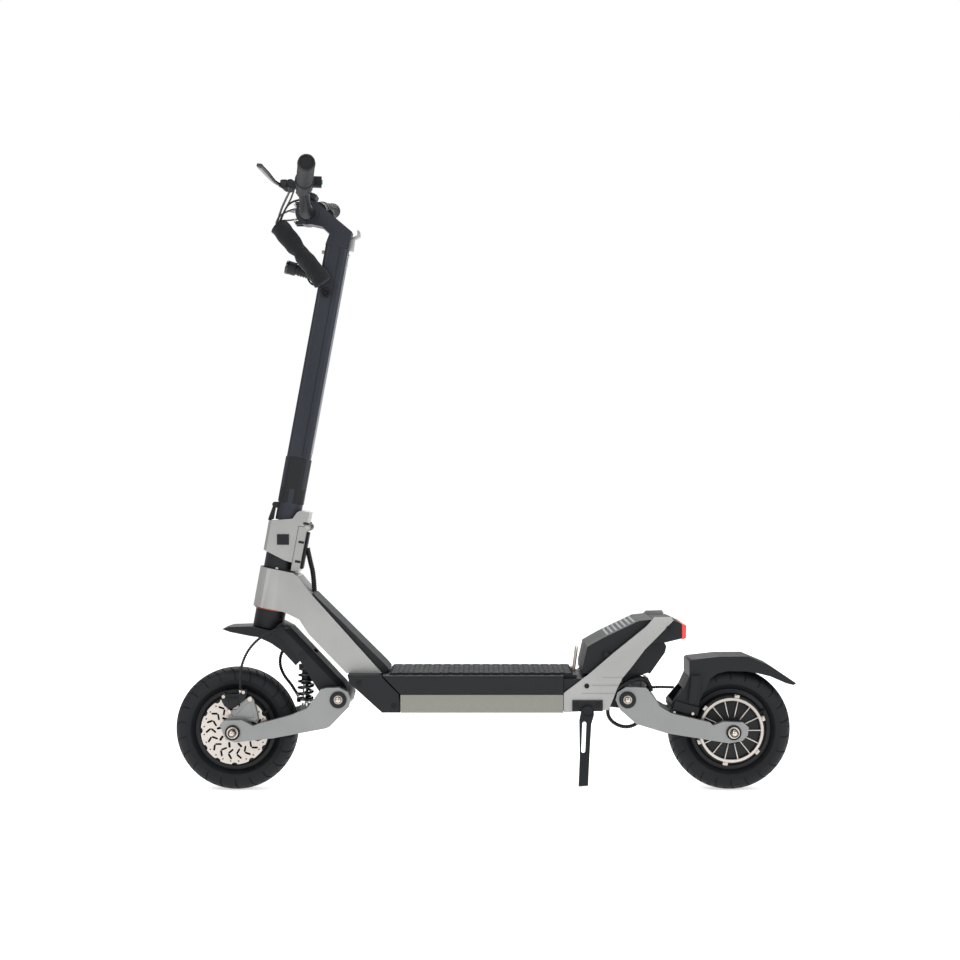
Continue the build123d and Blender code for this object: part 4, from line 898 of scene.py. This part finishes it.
for number, (back, up, body, face) in enumerate(((0.0425, 0.1470, "stem", 0.0362), (0.0395, 0.1070, "fork", 0.0342),
                                                 (0.0395, 0.0660, "fork", 0.0342))):
    for side in (-1, 1):
        centre = on_axis(back, up, side * face)
        slot_cut = block((0.0115, 0.0016, 0.0050), Matrix.Translation(centre) @ Matrix.Rotation(RAKE, 4, "Y"),
                         0.0006, 3)
        settle(slot_cut, f"latch_vent_{number}_{'left' if side < 0 else 'right'}", body, "black_plastic")
ring("hinge_knuckle_sleeve", 0.0071, 0.0078, -0.0338, 0.0338, Vector((-0.3689, 0, 0.5478)), ACROSS, "fork",
     "black_plastic")
# painted highlight: thin lighter strip along the back of the stem, where its rear chamfer catches light
highlight_strip = block((0.0030, 0.0300, 0.4300), Matrix.Translation(on_axis(0.0240, 0.5050)) @ Matrix.Rotation(RAKE, 4, "Y"),
             0.0012, 3)
settle(highlight_strip, "stem_rear_painted_highlight", "stem", "stem_grey", CHAMFER_HIGHLIGHT_PAINT)
back_bar = block((0.0060, 0.0300, 0.0780), Matrix.Translation(on_axis(0.0480, 0.0900)) @ Matrix.Rotation(RAKE, 4, "Y"),
                 0.0018, 3)
settle(back_bar, "latch_back_strip", "fork", "black_plastic")
ear = [on_axis(back, up) for back, up in ((-0.0215, 0.1670), (-0.0345, 0.1690), (-0.0372, 0.1740),
                                          (-0.0345, 0.1790), (-0.0215, 0.1810))]
for side, name in ((-1, "left"), (1, "right")):
    low, high = sorted((side * 0.0094, side * 0.0124))
    settle(plate([(corner.x, corner.z) for corner in ear], low, high, bevel=0.0006), f"latch_pivot_ear_{name}",
           "stem", "black_plastic")


# ------------------------------------------------------------------ deck and rear

def deck_pads():
    """Rubber mat: a thin sheet with staggered hexagonal pads, each dished on top."""
    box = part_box("deck_mat")
    low, high = Vector(box[0]), Vector(box[1])
    sheet = block((high.x - low.x, high.y - low.y, 0.0020),
                  Matrix.Translation(((low.x + high.x) / 2, 0, low.z + 0.0010)), 0.0006, 2)
    parts = [sheet]
    pitch_x, pitch_y, radius = 0.0208, 0.0240, 0.0112
    for offset in (0, 1):
        bpy.ops.object.select_all(action="DESELECT")
        bpy.ops.mesh.primitive_cylinder_add(vertices=6, radius=radius, depth=0.0026, rotation=(0, 0, math.pi / 6))
        pad = bpy.context.object
        bpy.ops.object.transform_apply(location=False, rotation=True, scale=False)
        pick(pad, lambda face: face.normal.z > 0.9)
        bpy.ops.mesh.inset(thickness=0.0010, depth=0.0005)
        bpy.ops.mesh.inset(thickness=0.0024, depth=-0.0006)
        bpy.ops.object.mode_set(mode="OBJECT")
        pad.location = (low.x + 0.0135 + offset * pitch_x / 2, -0.0840 + offset * pitch_y / 2, low.z + 0.0031)
        bpy.ops.object.transform_apply(location=True, rotation=False, scale=False)
        columns = pad.modifiers.new("columns", "ARRAY")
        columns.use_relative_offset = False
        columns.use_constant_offset = True
        columns.constant_offset_displace = (pitch_x, 0, 0)
        columns.count = 18 - offset
        bpy.ops.object.modifier_apply(modifier="columns")
        rows = pad.modifiers.new("rows", "ARRAY")
        rows.use_relative_offset = False
        rows.use_constant_offset = True
        rows.constant_offset_displace = (0, pitch_y, 0)
        rows.count = 8 - offset
        bpy.ops.object.modifier_apply(modifier="rows")
        parts.append(pad)
    mat = settle(join(parts), "deck_grip_mat", "deck", "mat_rubber", smooth=25)
    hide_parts("deck_mat")


deck_pads()


def kick_ribs():
    """Light grip ribs across the kick plate's slope, for the rear foot to push against."""
    low, high = Vector((0.2447, 0, 0.3240)), Vector((0.3166, 0, 0.3580))
    slope = Matrix.Translation((low + high) / 2) @ Matrix.Rotation(-math.atan2(high.z - low.z, high.x - low.x), 4, "Y")
    bars = [block((0.0048, 0.1660, 0.0022), slope @ Matrix.Translation((-0.0300 + 0.0100 * count, 0, 0.0006)), 0.0008, 3)
            for count in range(7)]
    settle(join(bars), "kick_plate_ribs", "deck", "mat_rubber", GRIT, 30)


kick_ribs()

port = [(0, 0), (0.0095, 0), (0.0095, 0.0020), (0.0088, 0.0028), (0.0074, 0.0028), (0.0072, 0.0018),
        (0.0060, 0.0018), (0.0058, 0.0052), (0.0050, 0.0060), (0, 0.0060)]
settle(lathe(port, Vector((0.2490, -0.0938, 0.2890)), -ACROSS, 40), "charge_port", "deck", "black_plastic")

for side in (-1, 1):
    mark = "left" if side < 0 else "right"
    low, high = sorted((side * 0.0638, side * 0.0650))
    rib = [(0.4270, 0.2430), (0.4475, 0.2430), (0.4475, 0.2370), (0.4420, 0.1870), (0.4250, 0.1840),
           (0.4215, 0.1900)]
    panel = plate(rib, low, high, bevel=0.0005)
    pick(panel, lambda face: face.normal.y * side > 0.9 and face.area > 0.0004)
    bpy.ops.mesh.inset(thickness=0.0022, depth=0)
    bpy.ops.mesh.inset(thickness=0.0006, depth=-0.0007)
    bpy.ops.object.mode_set(mode="OBJECT")
    settle(panel, f"fender_panel_{mark}", "rear_arm", "black_plastic")
    for number, (x, z) in enumerate(((0.3920, 0.1660), (0.4300, 0.1640))):
        socket_screw(f"fender_screw_{mark}_{number}", Vector((x, side * 0.0640, z)), ACROSS * side, 0.0032, 0.0024,
                     "rear_arm")

valve = [(0, 0), (0.0032, 0), (0.0032, 0.0120), (0.0040, 0.0125), (0.0040, 0.0180), (0.0030, 0.0190), (0, 0.0190)]
for label, centre, body in (("front", FRONT_AXLE, "front_wheel"), ("rear", REAR_AXLE, "rear_wheel")):
    reach = Vector((math.cos(0.53), 0, math.sin(0.53)))
    settle(lathe(valve, centre + reach * 0.0800 - ACROSS * 0.0300, (-reach * 0.75 - ACROSS * 0.66).normalized(), 24),
           f"{label}_valve", body, "black_plastic")

# ------------------------------------------------------------------ camera, light and floor

def area_light(name, place, target, size, power, colour):
    """Soft box aimed at a point."""
    lamp = bpy.data.lights.new(name, "AREA")
    lamp.shape = "RECTANGLE"
    lamp.size, lamp.size_y = size
    lamp.energy = power
    lamp.color = colour
    holder = bpy.data.objects.new(name, lamp)
    bpy.context.scene.collection.objects.link(holder)
    holder.location = place
    holder.rotation_euler = (Vector(target) - Vector(place)).to_track_quat("-Z", "Y").to_euler()


def studio():
    """White sweep, soft lights and the camera at the wanted angle."""
    bpy.ops.object.select_all(action="DESELECT")
    bpy.ops.mesh.primitive_plane_add(size=40, location=(0, 0, -0.0004))
    floor = bpy.context.object
    floor.name = "floor"
    card = bpy.data.materials.new("matt_white_card")
    card.use_nodes = True
    shade = card.node_tree.nodes["Principled BSDF"]
    shade.inputs["Base Color"].default_value = linear("#F4F4F4")
    shade.inputs["Roughness"].default_value = 0.9
    shade.inputs["Emission Color"].default_value = (1, 1, 1, 1)
    shade.inputs["Emission Strength"].default_value = 0.62
    floor.data.materials.append(card)

    world = bpy.data.worlds.new("studio_white")
    bpy.context.scene.world = world
    world.use_nodes = True
    nodes, links = world.node_tree.nodes, world.node_tree.links
    seen = nodes.new("ShaderNodeLightPath")
    level = nodes.new("ShaderNodeMapRange")
    level.inputs["To Min"].default_value = 0.46
    level.inputs["To Max"].default_value = 1.0
    links.new(seen.outputs["Is Camera Ray"], level.inputs["Value"])
    nodes["Background"].inputs["Color"].default_value = (1, 1, 1, 1)
    links.new(level.outputs[0], nodes["Background"].inputs["Strength"])

    area_light("key", (-2.2, -3.0, 3.2), (0, 0, 0.4), (2.4, 1.8), 70, (1.0, 0.99, 0.97))
    area_light("fill", (2.8, -2.6, 2.0), (0, 0, 0.4), (2.2, 1.6), 38, (0.97, 0.98, 1.0))
    area_light("top", (0.2, 0.4, 3.4), (0, 0, 0.3), (3.0, 1.4), 52, (1, 1, 1))
    area_light("back", (-0.4, 3.2, 2.4), (0, 0, 0.5), (3.0, 1.6), 40, (1, 1, 1))

    lens = bpy.data.cameras.new("camera")
    lens.lens = 70.54
    lens.sensor_width = 36
    camera = bpy.data.objects.new("camera", lens)
    bpy.context.scene.collection.objects.link(camera)
    camera.location = (-0.0095, -3.95, 0.6468)
    camera.rotation_euler = (math.radians(90), 0, 0)
    bpy.context.scene.camera = camera
    bpy.context.scene.view_settings.view_transform = "Standard"


studio()
